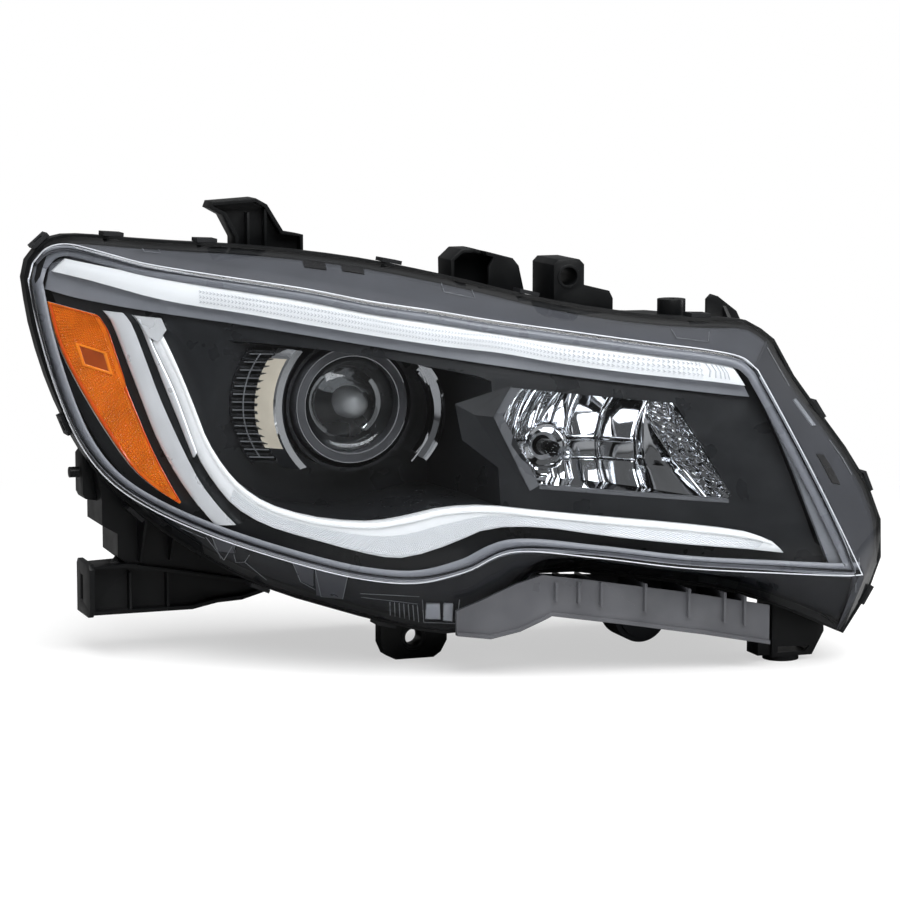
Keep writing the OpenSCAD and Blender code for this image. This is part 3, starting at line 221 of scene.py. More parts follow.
def abs_satin_grey(text):
    # ABS painted in satin grey: a pale edge behind the light guide
    return surface("abs_satin_grey", text, 0.34, grain=0.5, depth=0.0012, tone=0.06)


def aluminium_vapour_coated(text):
    # Aluminium evaporated on lacquered plastic: a clean mirror that is slightly uneven
    return surface("aluminium_vapour_coated", text, 0.05, grain=9, depth=0.03, tone=0.02,
                   metallic=1.0, streak=0.02)


def aluminium_satin_coated():
    # Aluminium evaporated on a finely etched plastic: a soft, bright, even metal
    return surface("aluminium_satin_coated", "#e4e5e7", 0.3, depth=0.002, tone=0.05,
                   metallic=0.5)


def steel_zinc_plated(text):
    # Cold rolled steel, zinc plated: a pale metal with soft streaks
    return surface("steel_zinc_plated", text, 0.3, grain=0.8, depth=0.004, tone=0.1,
                   metallic=1.0)


def aluminium_die_cast(text):
    # Pressure die cast aluminium, bead blasted: a grey metal with an even sparkle
    return surface("aluminium_die_cast", text, 0.45, grain=0.4, tone=0.08, metallic=1.0)


def epdm_moulded(text):
    # EPDM rubber, moulded: a dull black that shows dust
    return surface("epdm_moulded", text, 0.7, grain=0.9, tone=0.25)


def polyamide_moulded(text):
    # Glass filled polyamide, injection moulded: dark grey with a slightly rough skin
    return surface("polyamide_moulded", text, 0.48, grain=0.7, depth=0.01, tone=0.12,
                   ior=1.33)


def glass_epoxy_board(text):
    # Glass epoxy board with white solder mask: an even pale skin
    return surface("glass_epoxy_board", text, 0.4, grain=0.5, depth=0.003, tone=0.04)


def acrylic_frosted(text, name="acrylic_frosted", rough=0.3, depth=0.02):
    # Acrylic from an etched mould: milky, bright, with light that bleeds into its depth
    material, tree = blank(name)
    if tree is None:
        return material
    base, _ = drifting(tree, text, 35, 0.94, 1.0, 2.0)
    shader = add(tree, "ShaderNodeBsdfPrincipled", {
        "Base Color": base, "Roughness": rough, "Normal": grained(tree, 0.8, depth),
        "IOR": 1.49, "Subsurface Weight": 0.25, "Subsurface Radius": (0.004, 0.004, 0.004),
        "Subsurface Scale": 1.0, "Coat Weight": 0.4, "Coat Roughness": 0.08})
    add(tree, "ShaderNodeOutputMaterial", {"Surface": shader})
    return material


def acrylic_amber(text, name="acrylic_amber", rough=0.12, tone=0.2):
    # Amber acrylic over a white tray: deep orange that brightens on facets facing the light
    material, tree = blank(name)
    if tree is None:
        return material
    base, _ = drifting(tree, text, 18, 1 - tone, 1 + tone)
    # Its faint emission in its own colour is a painted glow: the reflector is no lamp
    shader = add(tree, "ShaderNodeBsdfPrincipled", {
        "Base Color": base, "Roughness": rough, "Normal": grained(tree, 1.2, 0.01, 1.0),
        "IOR": 1.49, "Subsurface Weight": 0.3, "Subsurface Radius": (0.003, 0.0012, 0.0003),
        "Subsurface Scale": 1.0, "Coat Weight": 0.5, "Coat Roughness": 0.04,
        "Emission Color": base, "Emission Strength": 0.04})
    add(tree, "ShaderNodeOutputMaterial", {"Surface": shader})
    return material


def polycarbonate_clear():
    # Polycarbonate with a hard coat: clear, with a reflection that grows at grazing angles
    material, tree = blank("polycarbonate_clear")
    wave = grained(tree, 40, 0.01, 1.0)
    edge = add(tree, "ShaderNodeFresnel", {"IOR": 1.5, "Normal": wave})
    # Rays aren't bent in the wall, so its far face must not mirror them like a prism
    inside = add(tree, "ShaderNodeNewGeometry").outputs["Backfacing"]
    outside = add(tree, "ShaderNodeMath", {0: 1.0, 1: inside}, operation="SUBTRACT")
    share = add(tree, "ShaderNodeMath", {0: edge, 1: outside}, operation="MULTIPLY")
    through = add(tree, "ShaderNodeBsdfTransparent", {"Color": linear("#fbfcfd")})
    mirror = add(tree, "ShaderNodeBsdfGlossy", {
        "Color": linear("#ffffff"), "Roughness": 0.02, "Normal": wave})
    both = add(tree, "ShaderNodeMixShader", {0: share, 1: through, 2: mirror})
    add(tree, "ShaderNodeOutputMaterial", {"Surface": both})
    return material


def glass_moulded(name="glass_moulded", ior=1.5):
    # Optical glass, pressed and fire polished: it bends what lies behind, and lets light in
    material, tree = blank(name)
    if tree is None:
        return material
    shader = add(tree, "ShaderNodeBsdfPrincipled", {
        "Base Color": linear("#fdfefe"), "Roughness": 0.0, "IOR": ior,
        "Normal": grained(tree, 20, 0.004, 1.0), "Transmission Weight": 1.0})
    through = add(tree, "ShaderNodeBsdfTransparent", {"Color": linear("#fdfefe")})
    shadow = add(tree, "ShaderNodeLightPath").outputs["Is Shadow Ray"]
    both = add(tree, "ShaderNodeMixShader", {0: shadow, 1: shader, 2: through})
    add(tree, "ShaderNodeOutputMaterial", {"Surface": both})
    return material


# ---------------------------------------------------------------- geometry helpers
def dress(nodes, material, angle=34, edge=0.0):
    """Gives CAD nodes their finish, smooth curves with sharp corners, and moulded edges."""
    for node in nodes.split():
        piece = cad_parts[node]
        piece.data.materials.clear()
        piece.data.materials.append(material)
        if "custom_normal" in piece.data.attributes:
            piece.data.attributes.remove(piece.data.attributes["custom_normal"])
        for face in piece.data.polygons:
            face.use_smooth = True
            face.material_index = 0
        piece.modifiers.new("one_skin", "WELD").merge_threshold = 1e-6
        if edge:
            flat = piece.modifiers.new("flat_faces", "DECIMATE")
            flat.decimate_type = "DISSOLVE"
            flat.angle_limit = math.radians(0.4)
            bevel = piece.modifiers.new("moulded_edges", "BEVEL")
            bevel.width = edge
            bevel.segments = 2
            bevel.limit_method = "ANGLE"
            bevel.angle_limit = math.radians(40)
        split = piece.modifiers.new("sharp_corners", "EDGE_SPLIT")
        split.split_angle = math.radians(angle)


def new_piece(name, shape, material, body="lamp_housing", smooth=None,
              thick=0.0, offset=-1):
    """Piece from a shape, which is its vertices in metres of the frame and its faces.
    smooth is the angle that stays sharp, and thick gives a sheet its thickness in
    millimetres: inwards for an offset of -1, to both sides for 0."""
    mesh = bpy.data.meshes.new(name)
    mesh.from_pydata([tuple(v) for v in shape[0]], [], shape[1])
    mesh.validate()
    work = bmesh.new()
    work.from_mesh(mesh)
    bmesh.ops.recalc_face_normals(work, faces=work.faces)
    work.to_mesh(mesh)
    work.free()
    piece = bpy.data.objects.new(name, mesh)
    bpy.context.scene.collection.objects.link(piece)
    mesh.materials.append(material)
    if smooth:
        for face in mesh.polygons:
            face.use_smooth = True
        split = piece.modifiers.new("sharp_corners", "EDGE_SPLIT")
        split.split_angle = math.radians(smooth)
    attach(piece, body)
    if thick:
        wall = piece.modifiers.new("wall", "SOLIDIFY")
        wall.thickness = thick * MM
        wall.offset = offset


def mix(a, b, t):
    """Point at a share t of the way from a to b."""
    return tuple(p + (q - p) * t for p, q in zip(a, b))


def even(first, last, count):
    """Values from first to last in a count of equal steps."""
    return [first + (last - first) * i / count for i in range(count + 1)]


def between(x, points):
    """Height of a line of (x, z) points at x, held level past its ends."""
    if x <= points[0][0]:
        return points[0][1]
    for (xa, za), (xb, zb) in zip(points, points[1:]):
        if x <= xb:
            return za + (zb - za) * (x - xa) / (xb - xa)
    return points[-1][1]


def along(line, t):
    """Point of a smooth line through its points, for t from 0 to 1."""
    last = len(line) - 1
    i = min(int(t * last), last - 1)
    f = t * last - i
    b, c = line[i], line[i + 1]
    a = line[i - 1] if i else [2 * p - q for p, q in zip(b, c)]
    d = line[i + 2] if i + 2 <= last else [2 * q - p for p, q in zip(b, c)]
    return tuple(0.5 * (2 * b[k] + (c[k] - a[k]) * f
                        + (2 * a[k] - 5 * b[k] + 4 * c[k] - d[k]) * f * f
                        + (3 * b[k] - a[k] - 3 * c[k] + d[k]) * f ** 3) for k in (0, 1))


def run_of(line):
    """Length of a smooth line in millimetres."""
    points = [Vector(along(line, t)) for t in even(0, 1, 200)]
    return sum((b - a).length for a, b in zip(points, points[1:]))


def grid(rows):
    """Vertices and faces of a sheet from equal rows of points."""
    wide = len(rows[0])
    faces = [(i * wide + j, i * wide + j + 1, (i + 1) * wide + j + 1, (i + 1) * wide + j)
             for i in range(len(rows) - 1) for j in range(wide - 1)]
    return [p for row in rows for p in row], faces


def sheet(rows, columns, point):
    """Sheet through point(a, b), for each a of its rows and each b of its columns."""
    return grid([[point(a, b) for b in columns] for a in rows])


def turned(profile, centre, steps=48):
    """Ring round an axis that runs fore and aft. profile is (radius, y) in millimetres."""
    x, z = centre
    turns = [2 * math.pi * k / steps for k in range(steps)]
    vertices = [at(x + r * math.cos(a), y, z + r * math.sin(a)) for a in turns
                for r, y in profile]
    wide = len(profile)
    faces = [(i * wide + j, i * wide + (j + 1) % wide,
              ((i + 1) % steps) * wide + (j + 1) % wide, ((i + 1) % steps) * wide + j)
             for i in range(steps) for j in range(wide)]
    return vertices, faces


def bar(points, size, up=Vector((0, -1, 0))):
    """Square bar along points in metres, with size in metres."""
    rings = []
    for i, p in enumerate(points):
        a, b = points[max(0, i - 1)], points[min(len(points) - 1, i + 1)]
        way = (b - a).normalized()
        side = way.cross(up).normalized() * size / 2
        rise = side.cross(way).normalized() * size / 2
        rings.append([p - side - rise, p + side - rise, p + side + rise, p - side + rise])
    faces = [(4 * i + j, 4 * i + (j + 1) % 4, 4 * i + 4 + (j + 1) % 4, 4 * i + 4 + j)
             for i in range(len(rings) - 1) for j in range(4)]
    end = 4 * (len(rings) - 1)
    faces += [(3, 2, 1, 0), (end, end + 1, end + 2, end + 3)]
    return [p for ring in rings for p in ring], faces


def merged(parts):
    """One list of vertices and faces from several."""
    vertices, faces = [], []
    for some, ones in parts:
        start = len(vertices)
        vertices += some
        faces += [tuple(start + i for i in f) for f in ones]
    return vertices, faces


# ---------------------------------------------------------------- lines of the lamp
# Edges of the pieces behind the lens, as (x, z) in millimetres of the lamp's axes
BAR_TOP = [(-188, 106), (-163, 101), (-136, 96), (-110, 91), (-75, 86), (-40, 81),
           (-6, 75), (25, 69), (60, 64), (93, 60), (130, 52), (185, 45), (237, 39),
           (258, 34)]
BAR_BOTTOM = [(-197, 96), (-172, 90), (-137, 80), (-111, 75), (-76, 70), (-42, 64),
              (-7, 58), (24, 53), (58, 48), (92, 44), (129, 37), (182, 29), (240, 22),
              (268, 18)]
GUIDE_INNER = [(-132, 54), (-127, 40), (-121, 21), (-114, -3), (-108, -24), (-98, -44),
               (-86, -59), (-68, -71), (-39, -79), (-6, -81), (18, -77), (45, -70),
               (75, -68), (113, -72), (160, -77), (215, -83), (262, -90), (283, -98)]
GUIDE_OUTER = [(-138, 46), (-133, 32), (-126, 11), (-120, -12), (-114, -36), (-103, -58),
               (-90, -75), (-70, -87), (-40, -96), (-6, -105), (18, -107), (48, -97),
               (76, -85), (113, -84), (160, -91), (215, -98), (262, -103), (292, -107)]
AMBER_INNER = [(-172, 65), (-167, 54), (-163, 36), (-158, 15), (-151, -10), (-143, -35),
               (-134, -57), (-127, -72)]
AMBER_OUTER = [(-202, 73), (-198, 45), (-190, 20), (-178, -8), (-167, -30), (-155, -50),
               (-141, -64), (-128, -73)]
REFLEX = [(-185.8, 42.0), (-169.7, 36.8), (-166.9, 22.4), (-182.8, 27.3)]
CREASE_TOP = [(-210, 102), (-200, 114), (-186, 118), (-165, 113), (-140, 106), (-110, 101),
              (-75, 96), (-35, 90), (5, 82), (45, 76), (85, 69), (125, 63), (165, 57),
              (205, 51), (240, 46), (266, 40), (278, 30)]
CREASE_BOTTOM = [(-214, 88), (-210, 48), (-202, 6), (-190, -32), (-172, -60), (-145, -80),
                 (-105, -98), (-55, -114), (-12, -124), (25, -126), (58, -117), (92, -102),
                 (150, -107), (215, -116), (285, -122), (335, -126), (353, -126)]
FLANGE_TOP = [(-211, 103), (-201, 116), (-187, 122), (-165, 122), (-140, 120), (-107, 118),
              (-68, 116), (-24, 112), (20, 106), (60, 98), (98, 89), (136, 79), (180, 70),
              (223, 64), (262, 61), (295, 59), (315, 45)]
FLANGE_BOTTOM = [(-214, 90), (-211, 56), (-203, 16), (-191, -20), (-175, -52), (-148, -84),
                 (-110, -113), (-66, -137), (-20, -152), (20, -163), (58, -170), (90, -161),
                 (122, -125), (190, -128), (262, -139), (315, -157), (351, -174)]
CREASE = {"top": CREASE_TOP, "bottom": CREASE_BOTTOM}
FLANGE = {"top": FLANGE_TOP, "bottom": FLANGE_BOTTOM}
LENS_PLAN = {"inner": 380, "run": 600, "lead": 40, "bow": 131, "wrap": 109, "front": 150}
LENS_LEAN, LENS_CROWN = 0.22, 0.0008
# Gap from the front of the lens to its rim: it swells along a run, then eases past an x
GAP = {"start": -220, "run": 252, "least": 8, "swell": 67, "ease": 0.06, "past": 60}
# Bulge of the rim at the inboard end, and how far inside its outline the wall starts and ends
END_BULGE, END_POWER, CREASE_SET, RIM_SET = 50, 1.4, 1.5, 0.6
# How far the faces of the light guides and the side reflector lie behind the lens front
UPPER_DEPTH, LOWER_DEPTH, AMBER_DEPTH = 5.4, 7.1, 6.8


def plan_y(x):
    """Sweep of the lens seen from above."""
    t = (LENS_PLAN["inner"] - x) / LENS_PLAN["run"]
    plan = LENS_PLAN["lead"] * t + LENS_PLAN["bow"] * t * t + LENS_PLAN["wrap"] * t ** 4
    return plan - LENS_PLAN["front"]


def lens_y(x, z):
    """How far back the front of the outer lens is at x, z."""
    return plan_y(x) + LENS_LEAN * z + LENS_CROWN * z * z


def flange_y(x, z):
    """How far back the rim of the lens meets the housing at x, z."""
    share = min(1, max(0, (x - GAP["start"]) / GAP["run"]))
    gap = GAP["least"] + GAP["swell"] * math.sin(math.pi / 2 * share)
    return plan_y(x) + gap - GAP["ease"] * max(0, x - GAP["past"]) + LENS_LEAN * z


def under(x, z, depth):
    """Point at x, z, behind the front of the lens by depth."""
    return at(x, lens_y(x, z) + depth, z)


def spread(first, second, t, s, depth):
    """Point between two lines, at a share s from the first, behind the lens by depth."""
    return under(*mix(along(first, t), along(second, t), s), depth)


INWARD = {"top": Vector((0, 0, -1)), "bottom": Vector((0, 0, 1)), "right": Vector((-1, 0, 0))}


def skirt(side, t, f, inset):
    """Point in the wall round the lens: t runs along it, f goes from the crease to the
    rim, and inset is how far inside the wall it lies, in millimetres."""
    if side == "right":
        first = mix(CREASE_TOP[-1], CREASE_BOTTOM[-1], t)
        x, z = mix(FLANGE_TOP[-1], FLANGE_BOTTOM[-1], t)
        last = x + END_BULGE * math.sin(math.pi * t ** END_POWER), z
    else:
        first, last = along(CREASE[side], t), along(FLANGE[side], t)
    a = Vector((first[0], lens_y(*first) + CREASE_SET, first[1]))
    b = Vector((last[0], flange_y(*last) - RIM_SET, last[1]))
    return at(*(a.lerp(b, f) + INWARD[side] * inset))


def skirt_sheet(side, corners, inset, steps, across):
    """Sheet in the wall round the lens, between four (t, f) corners."""
    a, b, c, d = corners
    return sheet(even(0, 1, steps), even(0, 1, across), lambda u, v: skirt(
        side, *mix(mix(a, b, u), mix(d, c, u), v), inset))


def crease_loop():
    """Points of the crease round the lens as (x, z), with the way that points inwards."""
    points = [along(CREASE_TOP, t) for t in even(0, 1, 90)[:-1]]
    points += [mix(CREASE_TOP[-1], CREASE_BOTTOM[-1], t) for t in even(0, 1, 14)[:-1]]
    points += [along(CREASE_BOTTOM, t) for t in even(1, 0, 120)]
    loop = []
    for i, (x, z) in enumerate(points):
        before, after = points[i - 1], points[(i + 1) % len(points)]
        one = Vector((z - before[1], before[0] - x)).normalized()
        two = Vector((after[1] - z, x - after[0])).normalized()
        way = (one + two).normalized()
        loop.append(((x, z), way / max(0.45, way.dot(one))))
    return loop


def face_band(start, stop, depth):
    """Sheet that follows the crease inside the lens, between two distances from it. It
    lies deeper where the lens sweeps back."""
    def point(place, step):
        (x, z), way = place
        x, z = x + way.x * step, z + way.y * step
        return under(x, z, depth * math.hypot(1, plan_y(x + 1) - plan_y(x)))
    loop = crease_loop()
    return sheet(loop + loop[:1], (start, stop), point)


# ---------------------------------------------------------------- operators
class LAMP_OT_mouldings(bpy.types.Operator):
    """Gives the housing, the bezel, the brackets and the rear parts their finish"""
    bl_idname = "lamp.mouldings"
    bl_label = "Mouldings"

    def execute(self, context):
        colours, sizes, _ = settings()
        plastic = polypropylene_moulded(colours.housing)
        dress("housing", plastic)
        dress("hook_bracket clip_bracket bolt_bracket locator_boss side_arm_bracket "
              "lower_bolt_tab corner_foot rear_foot locating_peg", plastic, edge=sizes.edge)
        dress("lower_rib_panel", surface("polypropylene_panel", "#4e4f53", 0.34, depth=0.003,
                                         tone=0.12), edge=sizes.edge)
        dress("bezel projector_fins", abs_satin_black(colours.bezel))
        dress("lens_sealant low_cap_gasket high_cap_gasket", epdm_moulded(colours.rubber))
        dress("main_connector low_beam_cap high_beam_cap vent_caps side_marker_socket "
              "lens_clips aim_wheel aim_guide carrier_frame pivot_sockets aim_socket "
              "low_beam_bulb_base high_beam_bulb_base", polyamide_moulded("#1c1d1f"))
        dress("upper_guide_trim inner_edge_trim", abs_satin_grey(colours.trim))
        dress("pivot_studs driver_screws projector_screws cutoff_shield aim_stud",
              steel_zinc_plated(colours.steel))
        dress("led_driver_module", aluminium_die_cast("#3c3d40"))
        dress("upper_led_board lower_led_board", glass_epoxy_board("#e6e8e4"))
        return {"FINISHED"}


class LAMP_OT_outer_lens(bpy.types.Operator):
    """Gives the outer lens its clear finish"""
    bl_idname = "lamp.outer_lens"
    bl_label = "Outer lens"

    def execute(self, context):
        dress("outer_lens", polycarbonate_clear(), angle=28)
        return {"FINISHED"}


# Mouldings seen through the wall of the lens: side, finish, (t, f) corners
WALL_PANELS = [
    ("bottom", "dark", [(0.438, 0.15), (0.458, 0.20), (0.475, 0.73), (0.462, 0.66)]),
    ("bottom", "dark", [(0.458, 0.15), (0.487, 0.08), (0.508, 0.86), (0.486, 0.98)]),
    ("bottom", "dark", [(0.371, 0.15), (0.392, 0.20), (0.400, 0.55), (0.388, 0.80)]),
    ("bottom", "clear", [(0.592, 0.60), (0.608, 0.60), (0.617, 0.88), (0.600, 0.90)]),
    ("bottom", "clear", [(0.613, 0.60), (0.625, 0.62), (0.633, 0.93), (0.621, 0.90)]),
    ("right", "clear", [(0.19, 0.70), (0.29, 0.72), (0.29, 0.82), (0.19, 0.80)]),
    ("right", "black", [(0.40, 0.38), (0.52, 0.38), (0.52, 0.54), (0.40, 0.54)]),
    ("top", "black", [(0.440, 0.78), (0.462, 0.78), (0.462, 0.97), (0.440, 0.97)]),
    ("top", "black", [(0.478, 0.82), (0.500, 0.82), (0.500, 0.97), (0.478, 0.97)]),
]
# Moulded edges seen through the wall beside those of the clear panels, as (t, f) points; the
# edges are real, and the grey of their bars is a painted highlight
WALL_EDGE_HIGHLIGHTS = {
    "bottom": [
        [(0.371, 0.40), (0.400, 0.98)], [(0.400, 0.98), (0.392, 0.30)],
        [(0.371, 0.15), (0.397, 0.98)],
        [(0.400, 0.60), (0.408, 0.85), (0.412, 0.70), (0.408, 0.38)],
        [(0.412, 0.70), (0.440, 0.98)], [(0.438, 0.15), (0.462, 0.68), (0.479, 0.80)],
        [(0.458, 0.15), (0.487, 0.08), (0.508, 0.86), (0.490, 0.97), (0.458, 0.15)],
        [(0.517, 0.58), (0.579, 0.45)], [(0.521, 0.68), (0.583, 0.62)],
        [(0.585, 0.52), (0.600, 0.97), (0.640, 0.97), (0.632, 0.56)],
        [(0.350, 0.60), (0.371, 0.48)]],
    "top": [
        [(0.585, 0.96), (0.585, 0.72), (0.620, 0.72), (0.620, 0.96)],
        [(0.835, 0.80), (0.838, 0.48), (0.880, 0.45), (0.883, 0.80)],
        [(0.262, 0.95), (0.262, 0.80), (0.284, 0.80), (0.284, 0.95)]],
    "right": [
        [(0.01, 0.87), (0.15, 0.86)], [(0.345, 0.90), (0.41, 0.92), (0.47, 0.90)],
        [(0.80, 0.62), (0.88, 0.64), (0.90, 0.80)]],
}
WALL_EDGE_HIGHLIGHTS["bottom"] += [[(0.552 + 0.0052 * k, 0.65), (0.5635 + 0.0052 * k, 0.98)]
                         for k in range(7)]
# grey colours the painted highlights on moulded edges, pale the painted highlight lines along
# the crease and in the wall
WALL_TONES = {"black": "#0b0b0d", "dark": "#34353a", "grey": "#6d6f73", "pale": "#c9cbd0"}
# Matt liners of the wall: colour, first and last t, inset; and their first and last f. Their
# tones, lighter on top and darkest at the bottom, are painted light and shade
LINERS_PAINTED_LIGHT = {"top": ("#414246", 0.02, 0.99, 5.6), "bottom": ("#1c1d20", 0.02, 0.995, 7.2),
          "right": ("#37383c", 0.0, 0.995, 5.6)}
LINER_START, LINER_STOP = 0.06, 0.99
PANEL_INSET, EDGE_INSET, EDGE_SIZE = 4.6, 4.0, 0.45
# Bands that follow the crease: name, first and last distance, depth, finish
FACE_BANDS = [
    ("land", 3.2, 10.0, 5.0, "satin"),
    ("land_groove", 1.6, 3.2, 5.4, "black"),
    # A pale band just inside the crease: a painted highlight of its rounded edge
    ("crease_painted_highlight", 0.3, 1.1, 3.4, "pale"),
]
# Bonding under the wall, just behind the crease, with a painted highlight line: name, first and
# last distance, inset, finish
BONDS = [
    ("bond_land", 2.0, 7.5, 4.4, "satin"),
    # A pale line in the clear wall: a painted highlight
    ("bond_painted_highlight", 4.4, 5.0, 4.1, "pale"),
    ("bond_seam", 7.5, 8.4, 4.2, "black"),
]
BOND_SPANS = {"top": (0.05, 0.97), "bottom": (0.10, 0.97), "right": (0.04, 0.96)}


class LAMP_OT_wall_liners(bpy.types.Operator):
    """Lines the wall round the lens and builds the mouldings seen through it"""
    bl_idname = "lamp.wall_liners"
    bl_label = "Wall liners"

    def execute(self, context):
        # Polypropylene with a deep matt etch, which takes almost no light; its tone on each
        # side is painted light and shade
        for side, (text, first, last, inset) in LINERS_PAINTED_LIGHT.items():
            matt = surface("polypropylene_matt_painted_light_" + side, text, 0.75, grain=0.5,
                           depth=0.0005, tone=0.1, ior=1.15)
            corners = ((first, LINER_START), (last, LINER_START),
                       (last, LINER_STOP), (first, LINER_STOP))
            new_piece("liner_" + side, skirt_sheet(side, corners, inset, 140, 8), matt,
                      smooth=40, thick=0.5, offset=0)
        finishes = {tone: surface("polypropylene_" + tone, text, 0.3, grain=0.5,
                                  depth=0.002, tone=0.08)
                    for tone, text in WALL_TONES.items()}
        finishes["satin"] = surface("abs_satin_land", "#6c6e74", 0.3, grain=0.5,
                                    depth=0.001, tone=0.05)
        finishes["clear"] = acrylic_frosted("#8a8c92", "acrylic_clip", 0.15, 0.003)
        for k, (side, tone, corners) in enumerate(WALL_PANELS):
            new_piece(f"wall_panel_{k}", skirt_sheet(side, corners, PANEL_INSET, 8, 4),
                      finishes[tone], thick=0.8, offset=0)
        edges = [(side, points) for side, lines in WALL_EDGE_HIGHLIGHTS.items() for points in lines]
        edges += [(side, corners + corners[:1]) for side, tone, corners in WALL_PANELS
                  if tone == "clear"]
        parts = [bar([skirt(side, t, f, EDGE_INSET) for t, f in points], EDGE_SIZE * MM,
                     Vector((0.1, -1, 0.1))) for side, points in edges]
        # Grey bars on the edges of the mouldings: painted highlights
        new_piece("wall_edge_highlights", merged(parts), finishes["grey"])
        for name, start, stop, depth, tone in FACE_BANDS:
            new_piece(name, face_band(start, stop, depth), finishes[tone],
                      smooth=50, thick=0.4, offset=0)
        for name, start, stop, inset, tone in BONDS:
            new_piece(name, self.bond(start, stop, inset), finishes[tone],
                      smooth=50, thick=0.3, offset=0)
        return {"FINISHED"}

    def bond(self, start, stop, inset):
        """Band in the wall between two distances from the crease, on its three sides."""
        def point(place, step):
            side, t = place
            wide = (skirt(side, t, 1, 0) - skirt(side, t, 0, 0)).length / MM
            return skirt(side, t, min(0.95, step / wide), inset)
        return merged([sheet([(side, t) for t in even(*span, 160)], (start, stop), point)
                       for side, span in BOND_SPANS.items()])


# Outline of the cap over the top of the strips, and the depths of its two rims
STRIP_CAP = [(-148.6, 65.6), (-131.8, 64.4), (-129.3, 56.2), (-135.3, 47.0), (-141.2, 50.6),
             (-144.9, 59.3)]
CAP_DEPTHS = (6.0, 12.0)
# Raised marks on the upper guide: share of its length, rows as shares of its width, height
MARK_SPAN, MARK_ROWS = (0.24, 0.92), ((0.24, 0.36), (0.46, 0.60), (0.70, 0.80))
MARK_HEIGHT = 0.35
# Coarser marks at its inboard end, across most of its width
END_SPAN, END_ROWS, END_PITCH = (0.925, 0.975), ((0.2, 0.8),), 4.2
# Ribs of the lower guide: share of its length and width, pitch, height and lean in pitches
RIB_SPAN, RIB_ACROSS = (0.33, 0.97), (0.42, 0.93)
RIB_PITCH, RIB_HEIGHT, RIB_LEAN = 1.6, 0.45, -5
# Rod of the lower guide: distance from the guide's edge, half its width, rise and set
ROD_EDGE, ROD_HALF, ROD_RISE, ROD_SET = 0.6, 2.1, 2.2, 0.4


class LAMP_OT_light_guides(bpy.types.Operator):
    """Gives the light guides and strips their frosted finish and their fine optics"""
    bl_idname = "lamp.light_guides"
    bl_label = "Light guides"

    def execute(self, context):
        colours, sizes, _ = settings()
        dress("upper_light_guide lower_light_guide", acrylic_frosted(colours.guide), angle=50)
        satin = aluminium_satin_coated()
        dress("outboard_strip inboard_strip", satin, angle=50)
        marks = self.marks(sizes.tooth / MM, MARK_SPAN, MARK_ROWS)
        marks += self.marks(END_PITCH, END_SPAN, END_ROWS)
        # The marks are a greyer acrylic than the guide: painted shade that makes them read
        # darker
        marks_painted_shade = acrylic_frosted("#b9bcc1", "acrylic_painted_shade", 0.25, 0.003)
        new_piece("upper_guide_teeth", merged(marks), marks_painted_shade, thick=0.5)
        hatched = acrylic_frosted("#d0d2d5", "acrylic_hatched", 0.2, 0.003)
        new_piece("lower_guide_teeth", self.ribs(), hatched, thick=0.5)
        vertices, faces = sheet(CAP_DEPTHS, STRIP_CAP + STRIP_CAP[:1],
                                lambda depth, p: under(*p, depth))
        new_piece("strip_cap", (vertices, faces + [(5, 4, 3, 2, 1, 0)]), satin)
        polished = acrylic_frosted("#eceded", "acrylic_polished", 0.12, 0.003)
        new_piece("lower_guide_rod", self.rod(), polished, smooth=50)
        return {"FINISHED"}

    def marks(self, pitch, span, rows):
        """Rows of small raised V shapes on the face of the upper guide."""
        total = run_of(BAR_TOP)
        count = int(total * (span[1] - span[0]) / pitch)
        lean, wide = 0.5 * pitch / total, 0.24 * pitch / total
        parts = []
        for s0, s1 in rows:
            corners = (s0, 0), ((s0 + s1) / 2, lean), (s1, 0)
            for t in even(*span, count)[:-1]:
                parts.append(sheet((t, t + wide), corners, lambda start, corner: spread(
                    BAR_TOP, BAR_BOTTOM, start + corner[1], corner[0],
                    UPPER_DEPTH - MARK_HEIGHT)))
        return parts

    def ribs(self):
        """Corrugated sheet on the face of the lower guide, whose ribs lean along it."""
        (first, last), (inner, outer) = RIB_SPAN, RIB_ACROSS
        count = int(run_of(GUIDE_INNER) * (last - first) / RIB_PITCH)

        def point(i, u):
            share = min(1, max(0, (i / 2 + RIB_LEAN * u) / count))
            return spread(GUIDE_INNER, GUIDE_OUTER, first + (last - first) * share,
                          inner + (outer - inner) * u, LOWER_DEPTH - RIB_HEIGHT * (i % 2))
        return sheet(range(2 * count + 1), even(0, 1, 6), point)

    def rod(self):
        """Half round rod along the inner edge of the lower guide, that carries the light."""
        steps, wide = 120, 9

        def point(t, angle):
            across = math.dist(along(GUIDE_OUTER, t), along(GUIDE_INNER, t))
            s = (ROD_EDGE + ROD_HALF * (1 - math.cos(angle))) / across
            return spread(GUIDE_INNER, GUIDE_OUTER, t, s,
                          LOWER_DEPTH + ROD_SET - ROD_RISE * math.sin(angle))
        vertices, faces = sheet(even(0.01, 0.99, steps), even(0, math.pi, wide - 1), point)
        faces += [(i * wide, (i + 1) * wide, (i + 1) * wide + wide - 1, i * wide + wide - 1)
                  for i in range(steps)]
        faces += [tuple(range(wide)), tuple(steps * wide + k for k in reversed(range(wide)))]
        return vertices, faces


# Section of the reflector's border, as (distance inwards, height)
BORDER_PROFILE = ((0.2, -0.3), (0.3, 1.2), (1.0, 1.7), (1.8, 1.2), (2.2, -0.3))
# The prisms stop short of the border and of the reflex insert
PRISM_HEIGHT, PRISM_EDGE, REFLEX_REACH = 1.5, 3.2, 1.0


def amber_face(t, s, depth):
    """Point on the face of the side reflector, set back by depth."""
    return spread(AMBER_OUTER, AMBER_INNER, t, s, AMBER_DEPTH + depth)


